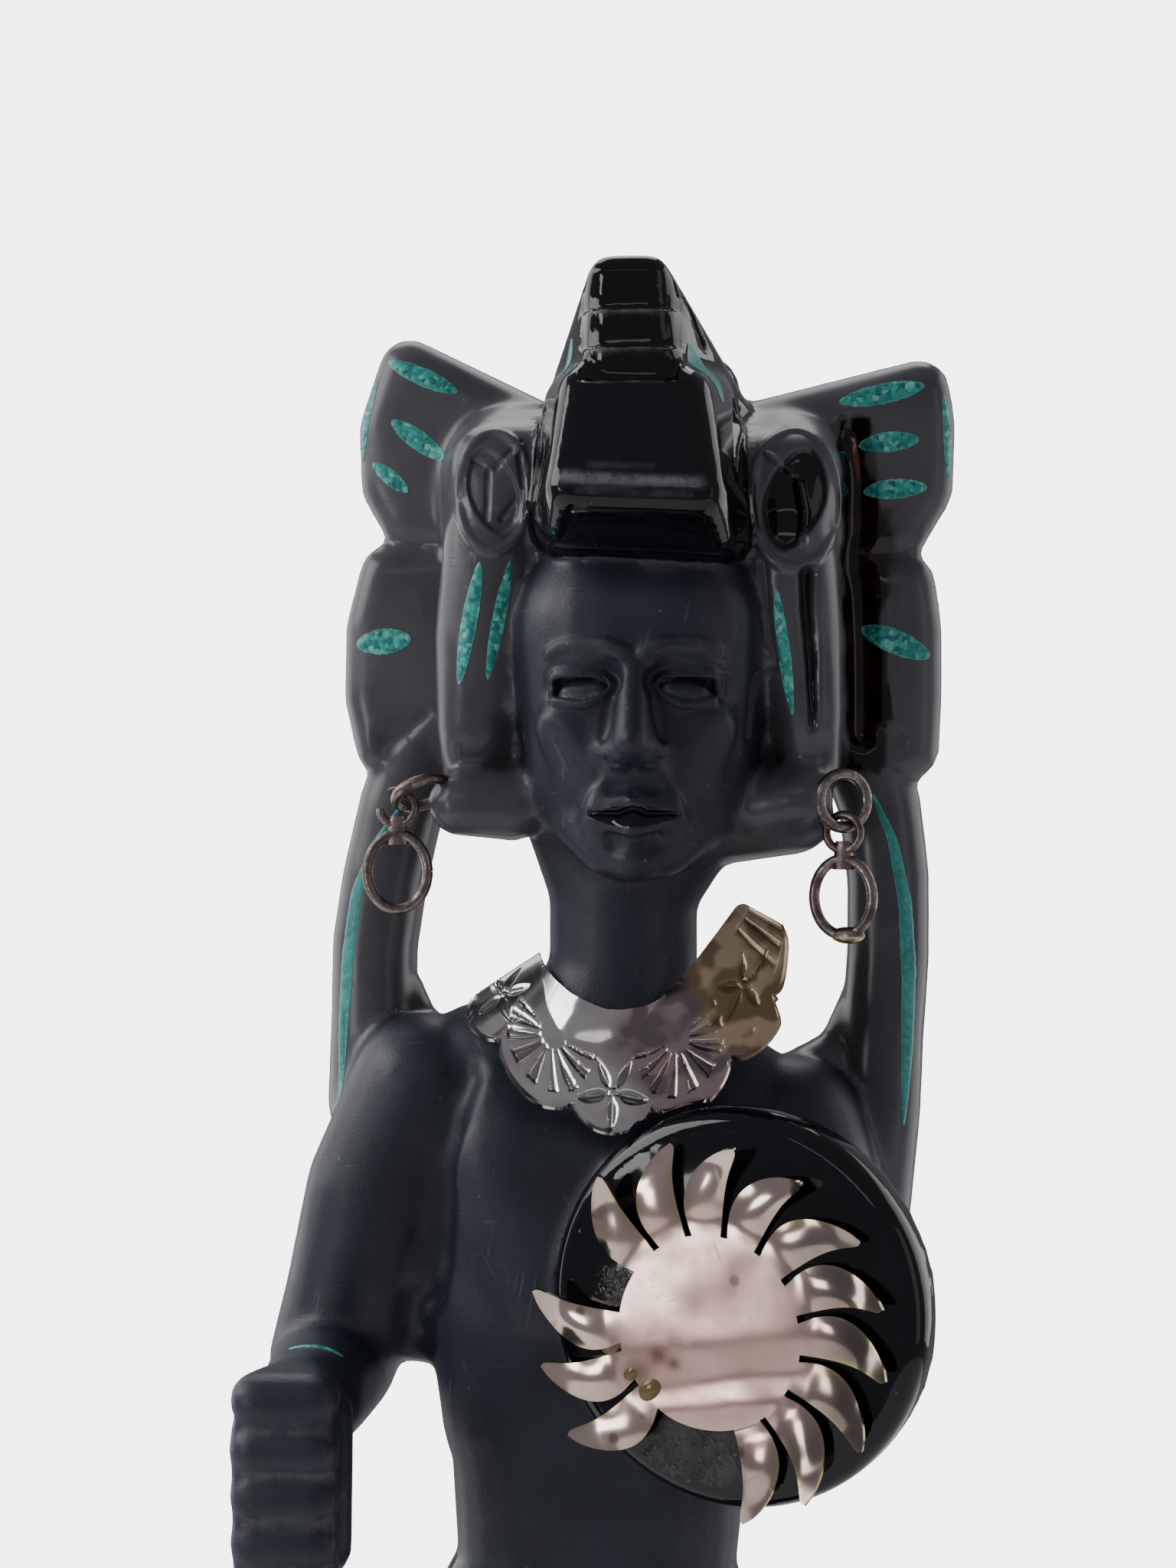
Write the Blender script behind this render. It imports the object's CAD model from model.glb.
# Carved warrior deity in black volcanic glass, with malachite inlays, a stamped silver collar,
# a silver sun on its shield and wire ear pendants. Everything is in metres, in the frame of the solids.
import math
import random

import bmesh
import bpy
import numpy as np
from mathutils import Matrix, Vector
from mathutils.bvhtree import BVHTree


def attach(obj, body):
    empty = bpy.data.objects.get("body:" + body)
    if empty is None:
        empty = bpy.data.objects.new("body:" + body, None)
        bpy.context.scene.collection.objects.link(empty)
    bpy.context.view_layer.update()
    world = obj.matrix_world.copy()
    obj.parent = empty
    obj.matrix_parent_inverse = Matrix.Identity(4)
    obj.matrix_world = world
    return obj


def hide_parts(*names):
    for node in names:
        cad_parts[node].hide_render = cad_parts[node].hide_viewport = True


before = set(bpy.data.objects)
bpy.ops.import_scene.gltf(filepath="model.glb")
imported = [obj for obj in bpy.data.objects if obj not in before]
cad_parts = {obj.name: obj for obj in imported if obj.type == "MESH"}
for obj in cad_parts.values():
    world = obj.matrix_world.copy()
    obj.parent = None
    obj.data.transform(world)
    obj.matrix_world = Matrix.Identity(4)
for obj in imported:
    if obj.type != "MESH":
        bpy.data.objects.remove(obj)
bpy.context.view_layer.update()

# The carving is drawn in millimetres from the underside of its base, as seen from the front
drawing = {
    "unit": 0.001,
    "middle": (-6.0, -3.0),
    "faceX": 0.5,
}


def at(x, y, z):
    unit = drawing["unit"]
    return Vector(((x - drawing["middle"][0]) * unit, (y - drawing["middle"][1]) * unit, z * unit))


# Camera

cameraSetup = {
    "target": (-6.8, 0.0, 234.3),   # drawn place in the middle of the photograph
    "distance": 0.380,
    "azimuth": 5.0,
    "lens": 66.8,
    "sensor": 36.0,
}


def addCamera():
    setup = cameraSetup
    target = at(*setup["target"])
    turn = math.radians(setup["azimuth"])
    data = bpy.data.cameras.new("photoCamera")
    data.lens = setup["lens"]
    data.sensor_width = setup["sensor"]
    data.clip_start = 0.01
    camera = bpy.data.objects.new("photoCamera", data)
    bpy.context.scene.collection.objects.link(camera)
    back = Vector((math.sin(turn), -math.cos(turn), 0))
    camera.location = target + setup["distance"] * back
    camera.rotation_euler = (-back).to_track_quat("-Z", "Y").to_euler()
    bpy.context.scene.camera = camera


addCamera()
print("camera placed")

# Small helpers


def linkNew(name, mesh):
    made = bpy.data.objects.new(name, mesh)
    bpy.context.scene.collection.objects.link(made)
    return made


def meshFrom(bm, name):
    mesh = bpy.data.meshes.new(name)
    bm.to_mesh(mesh)
    bm.free()
    return mesh


def evaluatedMesh(obj):
    graph = bpy.context.evaluated_depsgraph_get()
    return bpy.data.meshes.new_from_object(obj.evaluated_get(graph), depsgraph=graph)


def bakeModifiers(obj):
    mesh = evaluatedMesh(obj)
    obj.modifiers.clear()
    obj.data = mesh
    return obj


def readArray(mesh, field):
    values = np.empty(len(mesh.vertices) * 3)
    mesh.vertices.foreach_get(field, values)
    return values.reshape(-1, 3)


def addValues(mesh, name, values):
    layer = mesh.attributes.new(name, "FLOAT", "POINT")
    layer.data.foreach_set("value", np.asarray(values, np.float32))


def addNode(tree, kind, inputs=None, **settings):
    # A node with its settings; each of its inputs is linked, or given its value
    node = tree.nodes.new(kind)
    for name, value in settings.items():
        setattr(node, name, value)
    for label, value in (inputs or {}).items():
        if isinstance(value, bpy.types.NodeSocket):
            tree.links.new(value, node.inputs[label])
        else:
            node.inputs[label].default_value = value
    return node


def finishPiece(obj, nodes, finish):
    obj.data.materials.clear()
    obj.data.materials.append(finish)
    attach(obj, "root")
    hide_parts(*nodes)


# Rounded forms: each is the convex skin round a few drawn balls (x, y, z, r)

ballDetail = {"few": (20, 13), "many": (7, 5), "manyFrom": 30}


def skin(bm, balls):
    hull = bmesh.new()
    across, up = ballDetail["few" if len(balls) < ballDetail["manyFrom"] else "many"]
    for centre, radius in balls:
        place = Matrix.Translation(centre)
        bmesh.ops.create_uvsphere(hull, u_segments=across, v_segments=up, radius=radius, matrix=place)
    bmesh.ops.delete(hull, geom=hull.faces[:], context="FACES_ONLY")
    made = bmesh.ops.convex_hull(hull, input=hull.verts)
    inside = [v for v in made["geom_interior"] if isinstance(v, bmesh.types.BMVert)]
    bmesh.ops.delete(hull, geom=inside, context="VERTS")
    bmesh.ops.delete(hull, geom=[v for v in hull.verts if not v.link_faces], context="VERTS")
    bmesh.ops.recalc_face_normals(hull, faces=hull.faces)
    mesh = meshFrom(hull, "lump")
    bm.from_mesh(mesh)
    bpy.data.meshes.remove(mesh)


def lump(bm, *balls):
    skin(bm, [(at(x, y, z), r * drawing["unit"]) for x, y, z, r in balls])


def chain(bm, *balls):
    for first, second in zip(balls[:-1], balls[1:]):
        lump(bm, first, second)


def both(bm, *balls):
    middle = drawing["faceX"]
    lump(bm, *balls)
    lump(bm, *[(2 * middle - x, y, z, r) for x, y, z, r in balls])


def discBalls(centre, normal, radius, edge, count=48, half=0.0):
    side = normal.orthogonal().normalized()
    up = normal.cross(side)
    balls = []
    for i in range(count):
        turn = 2 * math.pi * i / count
        spoke = (radius - edge) * (math.cos(turn) * side + math.sin(turn) * up)
        for level in {-half, half}:
            balls.append((centre + spoke + level * normal, edge))
    return balls


# Forms with a matt, sanded skin


def legForms(bm):
    for side, hip in ((-1, -15.0), (1, 3.0)):
        foot = hip + 2 * side
        chain(bm, (hip, 0, 102, 10.5), (hip + side, -1.5, 84, 9.2), (hip + 1.5 * side, -2, 68, 7.8))
        chain(bm, (hip + 1.5 * side, -2, 68, 7.8), (foot, 1.5, 50, 8.2), (foot, 1, 28, 6.4))
        lump(bm, (foot, 4, 19, 6.2), (hip + 2.5 * side, -14, 17, 4.6), (hip + 5 * side, -12, 17, 4.4))
        lump(bm, (foot, 2, 24, 7.2), (foot, 2, 22, 7.2))


def torsoForms(bm):
    lump(bm, (-19, 0, 191, 11.5), (10, 0, 187, 11.5), (-14, -1, 162, 11.5), (4, -1, 160, 11.5))
    lump(bm, (-14, -1, 162, 11.5), (4, -1, 160, 11.5), (-12.0, -1, 127, 11.3), (0.6, -1, 127, 11.3))
    lump(bm, (-17, 0, 170, 11.5), (-14.6, -1, 152, 11.2), (4, -1, 160, 11))
    lump(bm, (-16, -3, 186, 11.5), (6, -3, 183, 11.5), (-12, -3, 170, 11), (2, -3, 168, 11))
    lump(bm, (-2.2, 1, 200, 10.8), (-20.5, 1, 197, 8.8), (14, 0, 192, 8.5))
    chain(bm, (-2.2, 0, 232, 9.8), (-2.2, 0.5, 206, 9.8))
    lump(bm, (-2.2, 0.5, 208, 10), (-4, 1, 198, 14))
    lump(bm, (-2.2, 0, 221, 9.6), (-9, 0, 231, 6.5), (7, -1, 229.5, 6.5))


def armForms(bm):
    unit = drawing["unit"]
    chain(bm, (-28.5, 0, 195, 9.4), (-34.5, 0.5, 181, 9.6), (-38.0, 1.5, 168, 8.9), (-40.8, 2.5, 158.5, 8.6))
    chain(bm, (-41.2, 3, 157, 8), (-40.5, -10, 157, 7.3), (-39.7, -22, 157.5, 6.6))
    lump(bm, (-35, 3.5, 166, 7.5), (-20, 3, 166, 9), (-31, 3, 176, 8))
    skin(bm, discBalls(at(-39.9, -19.5, 157.4), Vector((0, 1, 0)), 7.0 * unit, 0.8 * unit))
    lump(
        bm,
        (-43, -29, 157.5, 4.4), (-37.0, -29, 157.5, 4.2), (-43, -29, 142, 3.8),
        (-36.6, -29, 141.5, 3.6),
    )
    lump(bm, (-43.7, -34, 160.4, 3.4), (-36.8, -34, 160.6, 3.2), (-40, -25, 159.5, 4.6))
    lump(
        bm,
        (-43.9, -33.6, 156.5, 3.2), (-37, -33.8, 156.5, 3.2), (-43.7, -33, 140, 3.2),
        (-36.9, -33.2, 140, 3),
    )
    for i in range(4):
        z = 154.6 - 5.7 * i
        inset = 0.0 if i < 3 else 0.5
        knuckle = (-43.9 + inset, -34.3 + 0.3 * i, z, 3.3)
        lump(bm, knuckle, (-36.6, -34.8 + 0.3 * i, z, 3.1), (-40, -28, z, 3.4))
    chain(bm, (19.5, 0, 189.5, 9.6), (23.5, -1, 178, 8.8), (25, -4, 164, 7.8))
    chain(bm, (25, -4, 163, 7.5), (17, -12, 166, 6.5), (11, -17, 169, 6))


def faceForms(bm):
    x = drawing["faceX"]
    brow = ((x - 4, -7, 254, 12.6), (x + 4, -7, 254, 12.6))
    cheeks = ((x - 6, -6, 235, 8.6), (x + 6, -6, 235, 8.6))
    lump(bm, *brow, *cheeks, (x - 2.6, -12.6, 227.6, 5.3), (x + 2.6, -12.6, 227.6, 5.3))
    both(bm, (x - 9.5, -16.2, 250.6, 1.8), (x - 2.2, -18.6, 251.2, 1.8))
    lump(bm, (x, -18.4, 250, 1.7), (x, -22.2, 239.6, 2.2), (x - 1.2, -18, 239, 2), (x + 1.2, -18, 239, 2))
    both(bm, (x - 2.7, -19.3, 238.2, 1.7), (x - 1.5, -20, 238, 1.7))
    both(bm, (x - 8.6, -14.6, 241.5, 4.2), (x - 6.5, -14.0, 236, 4.0))
    lump(bm, (x - 3.6, -15.3, 231, 4.3), (x + 3.6, -15.3, 231, 4.3))
    lump(bm, (x - 5.6, -17.8, 231.0, 0.9), (x, -19.8, 232.4, 1.1), (x + 5.6, -17.8, 231.0, 0.9))
    lump(bm, (x - 4.6, -17.8, 230.0, 1.0), (x, -19.3, 228.8, 1.4), (x + 4.6, -17.8, 230.0, 1.0))
    lump(bm, (x, -15.2, 225.8, 3.9))
    both(bm, (x - 6.4, -15.1, 246.0, 3.2))


# Forms with a polished skin


def shieldFrame():
    turn = math.radians(shield["turn"])
    out = Vector((math.sin(turn), -math.cos(turn), 0))
    right = Vector((math.cos(turn), math.sin(turn), 0))
    return at(*shield["middle"]), out, right, Vector((0, 0, 1))


shield = {
    "middle": (12.8, -25.5, 170.6),
    "turn": -20.0,
    "radius": 0.0244,
    "thickness": 0.0075,
    "dome": 0.0018,
    "edge": 0.0016,
    "roundedEdge": 0.0028,
}


def shieldDome(distance):
    return shield["dome"] * max(0.0, 1 - (distance / shield["radius"]) ** 2)


def shieldForms(bm):
    middle, out, right, up = shieldFrame()
    half = shield["thickness"] / 2
    body = discBalls(middle - half * out, out, shield["radius"], shield["edge"], 56, half - shield["edge"])
    tip = 0.004
    for share in (0.0, 0.25, 0.5, 0.75):
        ring = share * shield["radius"]
        count = 1 if share == 0 else 18
        for i in range(count):
            turn = 2 * math.pi * i / count
            spoke = ring * (math.cos(turn) * right + math.sin(turn) * up)
            body.append((middle + spoke + (shieldDome(ring) - tip) * out, tip))
    skin(bm, body)


base = {"length": 0.076, "depth": 0.058, "height": 0.014, "corner": 0.006, "edge": 0.0012}


def baseForms(bm):
    edge, corner = base["edge"], base["corner"]
    reach = (base["length"] / 2 - corner, base["depth"] / 2 - corner)
    balls = []
    for i in range(32):
        turn = 2 * math.pi * (i + 0.5) / 32
        x = math.copysign(reach[0], math.cos(turn)) + (corner - edge) * math.cos(turn)
        y = math.copysign(reach[1], math.sin(turn)) + (corner - edge) * math.sin(turn)
        balls += [(Vector((x, y, base["height"] - edge)), edge), (Vector((x, y, -0.002)), edge)]
    skin(bm, balls)


def loinclothForms(bm):
    lump(bm, (-14, -1, 126, 12.8), (2, -1, 126, 12.8), (-13, -1, 119, 13.2), (1, -1, 119, 13.2))
    lump(bm, (-14, 0, 122, 12), (2, 0, 122, 12), (-17, 1, 95, 11), (5, 1, 95, 11))
    top = ((-13, -12, 118, 2.5), (1, -12, 118, 2.5))
    foot = ((-14, -12.5, 72, 2), (2, -12.5, 72, 2))
    lump(bm, *top, *foot, (-6, -4, 90, 6))
    lump(bm, (-12, 11, 118, 2.5), (0, 11, 118, 2.5), (-13, 12, 74, 2), (1, 12, 74, 2), (-6, 3, 90, 6))


# Lobes of the headdress: outer and inner corners (x, z), and the depth and radius of the inner balls
lobes = (
    (((-31.0, 289.2), (-33.6, 281.5), (-33.4, 274), (-31.0, 269.8)), ((-13, 279), (-15, 268)), 5, 5.4),
    (((36.2, 285.6), (36.9, 281), (36.6, 273), (33.6, 268.0)), ((14, 279), (16, 267)), 5, 5.4),
    (((-33.6, 262.0), (-35.4, 255), (-35.6, 246), (-34.2, 239.6)), ((-18, 262), (-20, 241)), 6, 5.5),
    (((34.4, 260.2), (35.2, 254), (35.2, 246), (34.8, 239.0)), ((18, 261), (20, 241)), 6, 5.5),
)


def hoodForms(bm):
    # The animal's skull behind the face, and the swelling round its eyes
    above = ((-8, 5, 263, 16), (9, 5, 263, 16), (0, 5, 274, 13))
    below = ((-9, 6, 243, 14), (9, 6, 243, 14))
    lump(bm, *above, *below, (0, 9, 234, 9))
    for side, cx, cz in ((-1, -17.4, 271.4), (1, 19.6, 270.2)):
        flat = [(cx - 1.7, -7.0, cz + 4.2, 5), (cx + 1.7, -7.0, cz + 4.2, 5), (cx, -7.2, cz - 4.2, 5)]
        outer = ((cx - 0.5 * side, 2.5, cz + 3.5, 9.5), (cx - side, 2.5, cz - 5, 9.5))
        lump(bm, *flat, *outer, (cx - 7 * side, 2, cz + 4, 8))
    # Its cheeks
    chain(
        bm,
        (-18.6, -6.7, 266, 6.3), (-19.8, -6.5, 253, 6.3), (-21.0, -5.4, 242, 5.0), (-22, -2.5, 236, 3.6),
    )
    lump(bm, (-16.4, -6.5, 262, 5), (-19, -6.5, 262, 5), (-17.4, -6.0, 246, 4), (-20, -6.0, 246, 4))
    chain(bm, (19.5, -7.2, 265, 6.0), (20.5, -7.2, 253, 5.9), (22, -6.4, 243, 4.6), (22.6, -3.5, 236, 3.6))
    for outer, inner, depth, radius in lobes:
        lump(bm, *[(x, 5, z, 4.2) for x, z in outer], *[(x, depth, z, radius) for x, z in inner])


def crestForms(bm):
    # The upper jaw over the forehead
    lump(
        bm,
        (-8.4, -21.0, 265.9, 2.3), (11.0, -21.0, 264.9, 2.3), (-6.6, -27.6, 270.2, 3.1),
        (9.4, -27.6, 269.4, 3.1), (-4.8, -21.0, 282.2, 4), (6.6, -21.0, 281.6, 4), (-9, -8, 268, 5),
        (11, -8, 267, 5), (-6, -8, 282, 6), (7, -8, 282, 6),
    )
    # The crest
    lump(
        bm,
        (-2.4, -19.5, 297.0, 2.8), (2.4, -19.5, 297.0, 2.8), (-2.4, -22, 282, 2.8),
        (3.8, -22, 282, 2.8), (-5.6, -2, 290, 3.4), (6.0, -2, 290, 3.4), (-8.5, 2, 281, 5),
        (10, 2, 281, 5),
    )
    lump(bm, (8.4, 6, 286.5, 4.4), (-6, 7, 284.5, 4.4), (1, 12, 278, 8), (9, 6, 276, 6), (-8, 6, 276, 6))


tails = {
    # Middle lines, as x at each height z
    "left": (
        (-29.5, 240), (-32.6, 231.5), (-34.8, 222), (-36.2, 213), (-36.4, 203), (-36.8, 192),
        (-34, 178),
    ),
    "right": (
        (28.0, 240), (31.2, 231.5), (32.3, 222), (32.3, 212), (31.6, 202), (31.2, 192), (29.8, 178),
    ),
    "halfWidth": 5.4,
    "front": 0.5,
    "back": 17,
}


def tailForms(bm):
    r = tails["halfWidth"]
    front, back = tails["front"] + r, tails["back"] - r
    for places in (tails["left"], tails["right"]):
        for (x1, z1), (x2, z2) in zip(places[:-1], places[1:]):
            lump(bm, (x1, front, z1, r), (x1, back, z1, r), (x2, front, z2, r), (x2, back, z2, r))
    chain(bm, (-34, 10, 180, 6), (-20, 6, 176, 8))
    chain(bm, (29, 10, 180, 6), (14, 6, 174, 8))
    # Rounded corners where the tails meet the shoulders
    chain(bm, (29, 8, 206, 3.0), (26.4, 7, 198.6, 3.7), (20, 4, 195.0, 4.2))
    chain(bm, (-32.6, 8, 207, 3.0), (-30.4, 7, 201.4, 3.3), (-25, 4, 199.8, 3.4))
    # Ear spools, and the bridge that joins the right one to the jaw
    lump(bm, (-16, -6, 231.5, 4.6), (-22.6, -8, 231.8, 4.2))
    lump(bm, (16.4, -6, 231.5, 4.6), (21.2, -8, 232.4, 4.2))
    lump(bm, (8, -1, 229, 5.6), (20, -4, 230.6, 5.4))


# Carved lines: drawn points, width and depth; a negative depth is raised


def along(points, count):
    points = np.array(points, float)
    steps = np.linalg.norm(np.diff(points, axis=0), axis=1)
    reach = np.concatenate([[0], np.cumsum(steps)])
    where = np.linspace(0, reach[-1], count)
    return np.stack([np.interp(where, reach, points[:, i]) for i in range(points.shape[1])], axis=1)


def arc(centre, radii, start, end, y, count=20):
    made = []
    for i in range(count + 1):
        turn = math.radians(start + (end - start) * i / count)
        made.append((centre[0] + radii[0] * math.cos(turn), y, centre[1] + radii[1] * math.sin(turn)))
    return made


def line(points, width, depth, taper=1.0, worn=0.0, shine=0.0):
    return {"points": points, "width": width, "depth": depth, "taper": taper, "worn": worn, "shine": shine}


crest = {"ledges": (297.4, 292.9, 288.1, 283.9), "depth": 1.3, "half": 6.2, "front": -14.0, "ledge": 0.13}

animalEyes = {
    "left": {"middle": (-17.9, 271.4), "ring": (4.6, 7.7), "almond": (3.5, 5.8), "lean": 0.2, "deep": 0.7},
    "right": {"middle": (20.3, 270.2), "ring": (5.5, 8.9), "almond": (4.2, 7.0), "lean": -0.2, "deep": 1.2},
    "front": -13.0,
    "power": 1.7,
    "rim": 0.16,
}


def animalEyeLines():
    front = animalEyes["front"]
    strokes = []
    for name in ("left", "right"):
        cx, cz = animalEyes[name]["middle"]
        ring = arc((cx, cz), animalEyes[name]["ring"], 0, 360, front, 36)
        strokes.append(line(ring, 0.9, -0.45, 1.0, 0.2))
    cx, cz = animalEyes["left"]["middle"]
    strokes.append(line([(cx - 0.6, front, cz + 2.6), (cx - 0.8, front, cz - 3.6)], 0.55, 0.35, 1.0, 0.9))
    strokes.append(line([(cx + 0.3, front, cz + 3.0), (cx + 3.6, front, cz + 6.4)], 0.5, 0.35, 0.6, 0.7))
    strokes.append(line([(cx - 2.4, front, cz + 4.1), (cx - 1.2, front, cz + 3.3)], 0.6, 0.35, 0.6, 0.8))
    strokes.append(line([(cx + 1.2, front, cz - 3.4), (cx + 2.8, front, cz - 1.2)], 0.6, 0.4, 0.6, 0.6))
    strokes.append(line([(cx + 3.5, front, cz + 4.6), (cx + 3.9, front, cz + 0.6)], 0.7, 0.5, 0.6, 0.3))
    cx, cz = animalEyes["right"]["middle"]
    slit = [(cx + 0.6, front, cz + 1.9), (cx + 1.2, front, cz - 1.6), (cx + 1.0, front, cz - 5.6)]
    strokes.append(line(slit, 0.8, -0.7))
    strokes.append(line([(cx - 3.4, front, cz + 5.6), (cx + 0.2, front, cz + 3.0)], 0.7, -0.6, 0.6, 0.2))
    return [{**stroke, "straight": True} for stroke in strokes]


def headdressLines():
    strokes = animalEyeLines()
    # Scuffed ridges of the jaw and of the crest's ledges
    scuffs = [((-7.0, 271.2), (9.6, 270.5), 1.4, 0.95), ((-4.0, 272.7), (3.4, 272.5), 0.8, 0.3)]
    scuffs.append(((-5.4, 269.6), (8.0, 269.0), 0.7, 0.35))
    scuffs += [((-3.6, z - 0.4), (4.2, z - 0.4), 0.8, 0.8) for z in crest["ledges"][1:]]
    for (x1, z1), (x2, z2), width, worn in scuffs:
        strokes.append({**line([(x1, -32, z1), (x2, -32, z2)], width, 0.04, 0.8, worn), "straight": True})
    # The slot beside the cheek inlay, and the creases where the cheeks meet the face
    slot = [(22.4, -13, 260.5), (22.2, -13, 256), (22.8, -13, 249), (22.9, -12, 241)]
    strokes.append(line(slot, 1.7, 2.0, 0.45, 0.0, 1.0))
    strokes.append(line([(16.2, -12, 262), (17.2, -13, 250), (16.4, -12, 240)], 0.8, 0.6))
    # Pockets between the jaw and the eyes, and the deep channel beside the right eye
    edge = [(12.6, -9, 281.4), (12.9, -14, 277.5), (12.4, -18, 273.6)]
    strokes.append(line(edge, 1.9, 2.0, 0.4, 0.0, 1.0))
    strokes.append(line([(-11.2, -13, 280.6), (-11.6, -15, 275.6)], 1.2, 1.2, 0.5, 0.0, 1.0))
    strokes.append(line([(27.4, 0, 280), (28.4, 0, 264), (28.8, 0, 250), (28.8, 0, 241)], 2.7, 2.0, 0.9))
    # A curved groove and three short cuts on the flank of the crest
    curl = [(6.4, -16.2, 295.7), (7.4, -14.8, 293.8), (8.1, -13.9, 291.8), (9, -12.4, 289.6)]
    strokes.append(line(curl, 0.8, 0.6))
    for i in range(3):
        groove = [(5.6 + 0.3 * i, -18.6 + 1.3 * i, 296.7), (5.9 + 0.3 * i, -18.2 + 1.3 * i, 295)]
        strokes.append(line(groove, 0.45, 0.35))
    # Cuts under the lower lobes
    for side, low in ((-1, 238.4), (1, 238.2)):
        strokes.append(line([(side * 33.5, 0.6, low + 1.4), (side * 28, 0, low + 5.0)], 2.2, 1.0, 0.35, 0.1))
    # Feathers down the back
    for i in range(7):
        spread = (i - 3) / 3
        feather = [(2 + 5 * spread, 22, 284), (13 * spread, 24, 262), (19 * spread, 22, 238)]
        strokes.append(line(feather, 1.5, 1.1))
    for places in (tails["left"], tails["right"]):
        strokes.append(line([(tx, 18, tz) for tx, tz in places], 1.4, 1.0))
    return strokes


def bodyLines():
    strokes = [line([(-22.5, -11, 198), (-26, -11, 184), (-28.5, -9, 170), (-29.5, -6, 160)], 3.2, 2.0)]
    for i in range(4):
        z = 157.3 - 5.7 * i
        gap = [(-45.6, -37, z), (-40, -37, z + 0.2), (-33, -37, z - 0.1)]
        strokes.append(line(gap, 0.9, 0.4, 1.0, 0.45))
    # A scuffed patch above the wrist
    strokes.append(line([(-40.0, -20, 166.4), (-36.0, -20, 168.2)], 2.0, 0.05, 1.0, 0.32))
    for z in (128.5, 117.5):
        strokes.append(line([(-28, -12, z), (-6, -15, z), (16, -12, z)], 1.2, 0.9))
        strokes.append(line([(-28, 12, z), (-6, 15, z), (16, 12, z)], 1.2, 0.9))
    for i in range(5):
        strokes.append(line([(-12.4 + 3.2 * i, -14.5, 79), (-12.4 + 3.2 * i, -14.5, 69)], 0.9, 0.8))
    for hip, side in ((-15.0, -1), (3.0, 1)):
        for i in range(3):
            tx = hip + side * 3.6 + 2.3 * (i - 1)
            strokes.append(line([(tx, -18.4, 18.5), (tx, -13, 21.4)], 0.9, 0.8))
    return strokes


def faceHollows():
    x = drawing["faceX"]
    strokes = [line([(x - 2.6, -19, 233.9), (x + 2.6, -19, 233.9)], 1.4, 0.3)]
    for side in (-1, 1):
        socket = [(x + 3.3 * side, -18, 247.2), (x + 6.4 * side, -18, 247.0), (x + 9.6 * side, -17, 246.6)]
        strokes.append(line(socket, 3.0, 1.5, 0.8))
        strokes.append(line([(x + 9.4 * side, -16, 240), (x + 7.2 * side, -16, 232)], 3.4, 0.8))
        strokes.append(line([(x + 2.6 * side, -20, 246.5), (x + 3.4 * side, -19, 240)], 1.6, 0.5, 0.7))
    strokes.append(line([(x - 2.6, -19, 226.6), (x + 2.6, -19, 226.6)], 1.8, 0.7))
    return strokes


def faceLines():
    x = drawing["faceX"]
    strokes = []
    for side in (-1, 1):
        eye = (x + 6.4 * side, 246.1)
        strokes.append(line([(eye[0] - 1.8, -18, 246.0), (eye[0] + 1.8, -18, 246.0)], 2.1, -1.5))
        strokes.append(line(arc(eye, (4.2, 2.2), 8, 172, -18), 0.8, -1.3))
        strokes.append(line(arc(eye, (4.1, 2.1), 192, 348, -18), 0.7, -1.05))
        strokes.append(line(arc(eye, (3.9, 1.5), 10, 170, -18), 0.30, 0.3, 1.0, 0.6))
        strokes.append(line(arc(eye, (3.9, 1.4), 195, 345, -18), 0.28, 0.2, 1.0, 0.4))
        fold = [(x + 3.4 * side, -19, 237.4), (x + 6.4 * side, -17, 231.6)]
        strokes.append(line(fold, 1.0, 0.26, 0.5, 0.25))
        strokes.append(line(arc((x + 2.6 * side, 237.2), (0.7, 0.45), 0, 360, -20, 8), 0.5, 0.45))
        strokes.append(line(arc((x + 6.2 * side, 249.2), (5.6, 2.6), 30, 155, -18), 1.3, -0.5, 0.8, 0.1))
    right = [(x, -20.6, 230.8), (x + 1.8, -20.5, 230.5), (x + 5.6, -19, 230.6)]
    left = [(2 * x - px, py, pz) for px, py, pz in right[:0:-1]]
    strokes.append(line(left + right, 0.5, 0.6))
    strokes.append(line([(x, -20.4, 236.2), (x, -20.4, 233.6)], 0.8, 0.22))
    strokes.append(line([(x - 3.0, -19, 227.0), (x + 3.0, -19, 227.0)], 1.0, 0.25))
    return strokes


def dropPoint(tree, place, straight):
    # Onto the nearest surface, or straight back from the front
    hit = tree.ray_cast(place - Vector((0, 0.02, 0)), Vector((0, 1, 0)))[0] if straight else None
    return tree.find_nearest(place)[0] if hit is None else hit


def dropLines(tree, strokes):
    dropped = []
    for stroke in strokes:
        points = stroke["points"]
        if not isinstance(points[0], Vector):
            path = along([at(*p) for p in points], max(8, 8 * (len(points) - 1)))
            points = [dropPoint(tree, Vector(p), stroke.get("straight")) for p in path]
        dropped.append({**stroke, "points": points})
    return dropped


def lineDistance(points, path):
    best = np.full(len(points), np.inf)
    reached = np.zeros(len(points))
    gone = 0.0
    for a, b in zip(path[:-1], path[1:]):
        span = b - a
        length = max(np.linalg.norm(span), 1e-9)
        share = np.clip(((points - a) @ span) / length**2, 0, 1)
        distance = np.linalg.norm(points - a - share[:, None] * span, axis=1)
        nearer = distance < best
        best = np.where(nearer, distance, best)
        reached = np.where(nearer, gone + share * length, reached)
        gone += length
    return best, reached / gone


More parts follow.
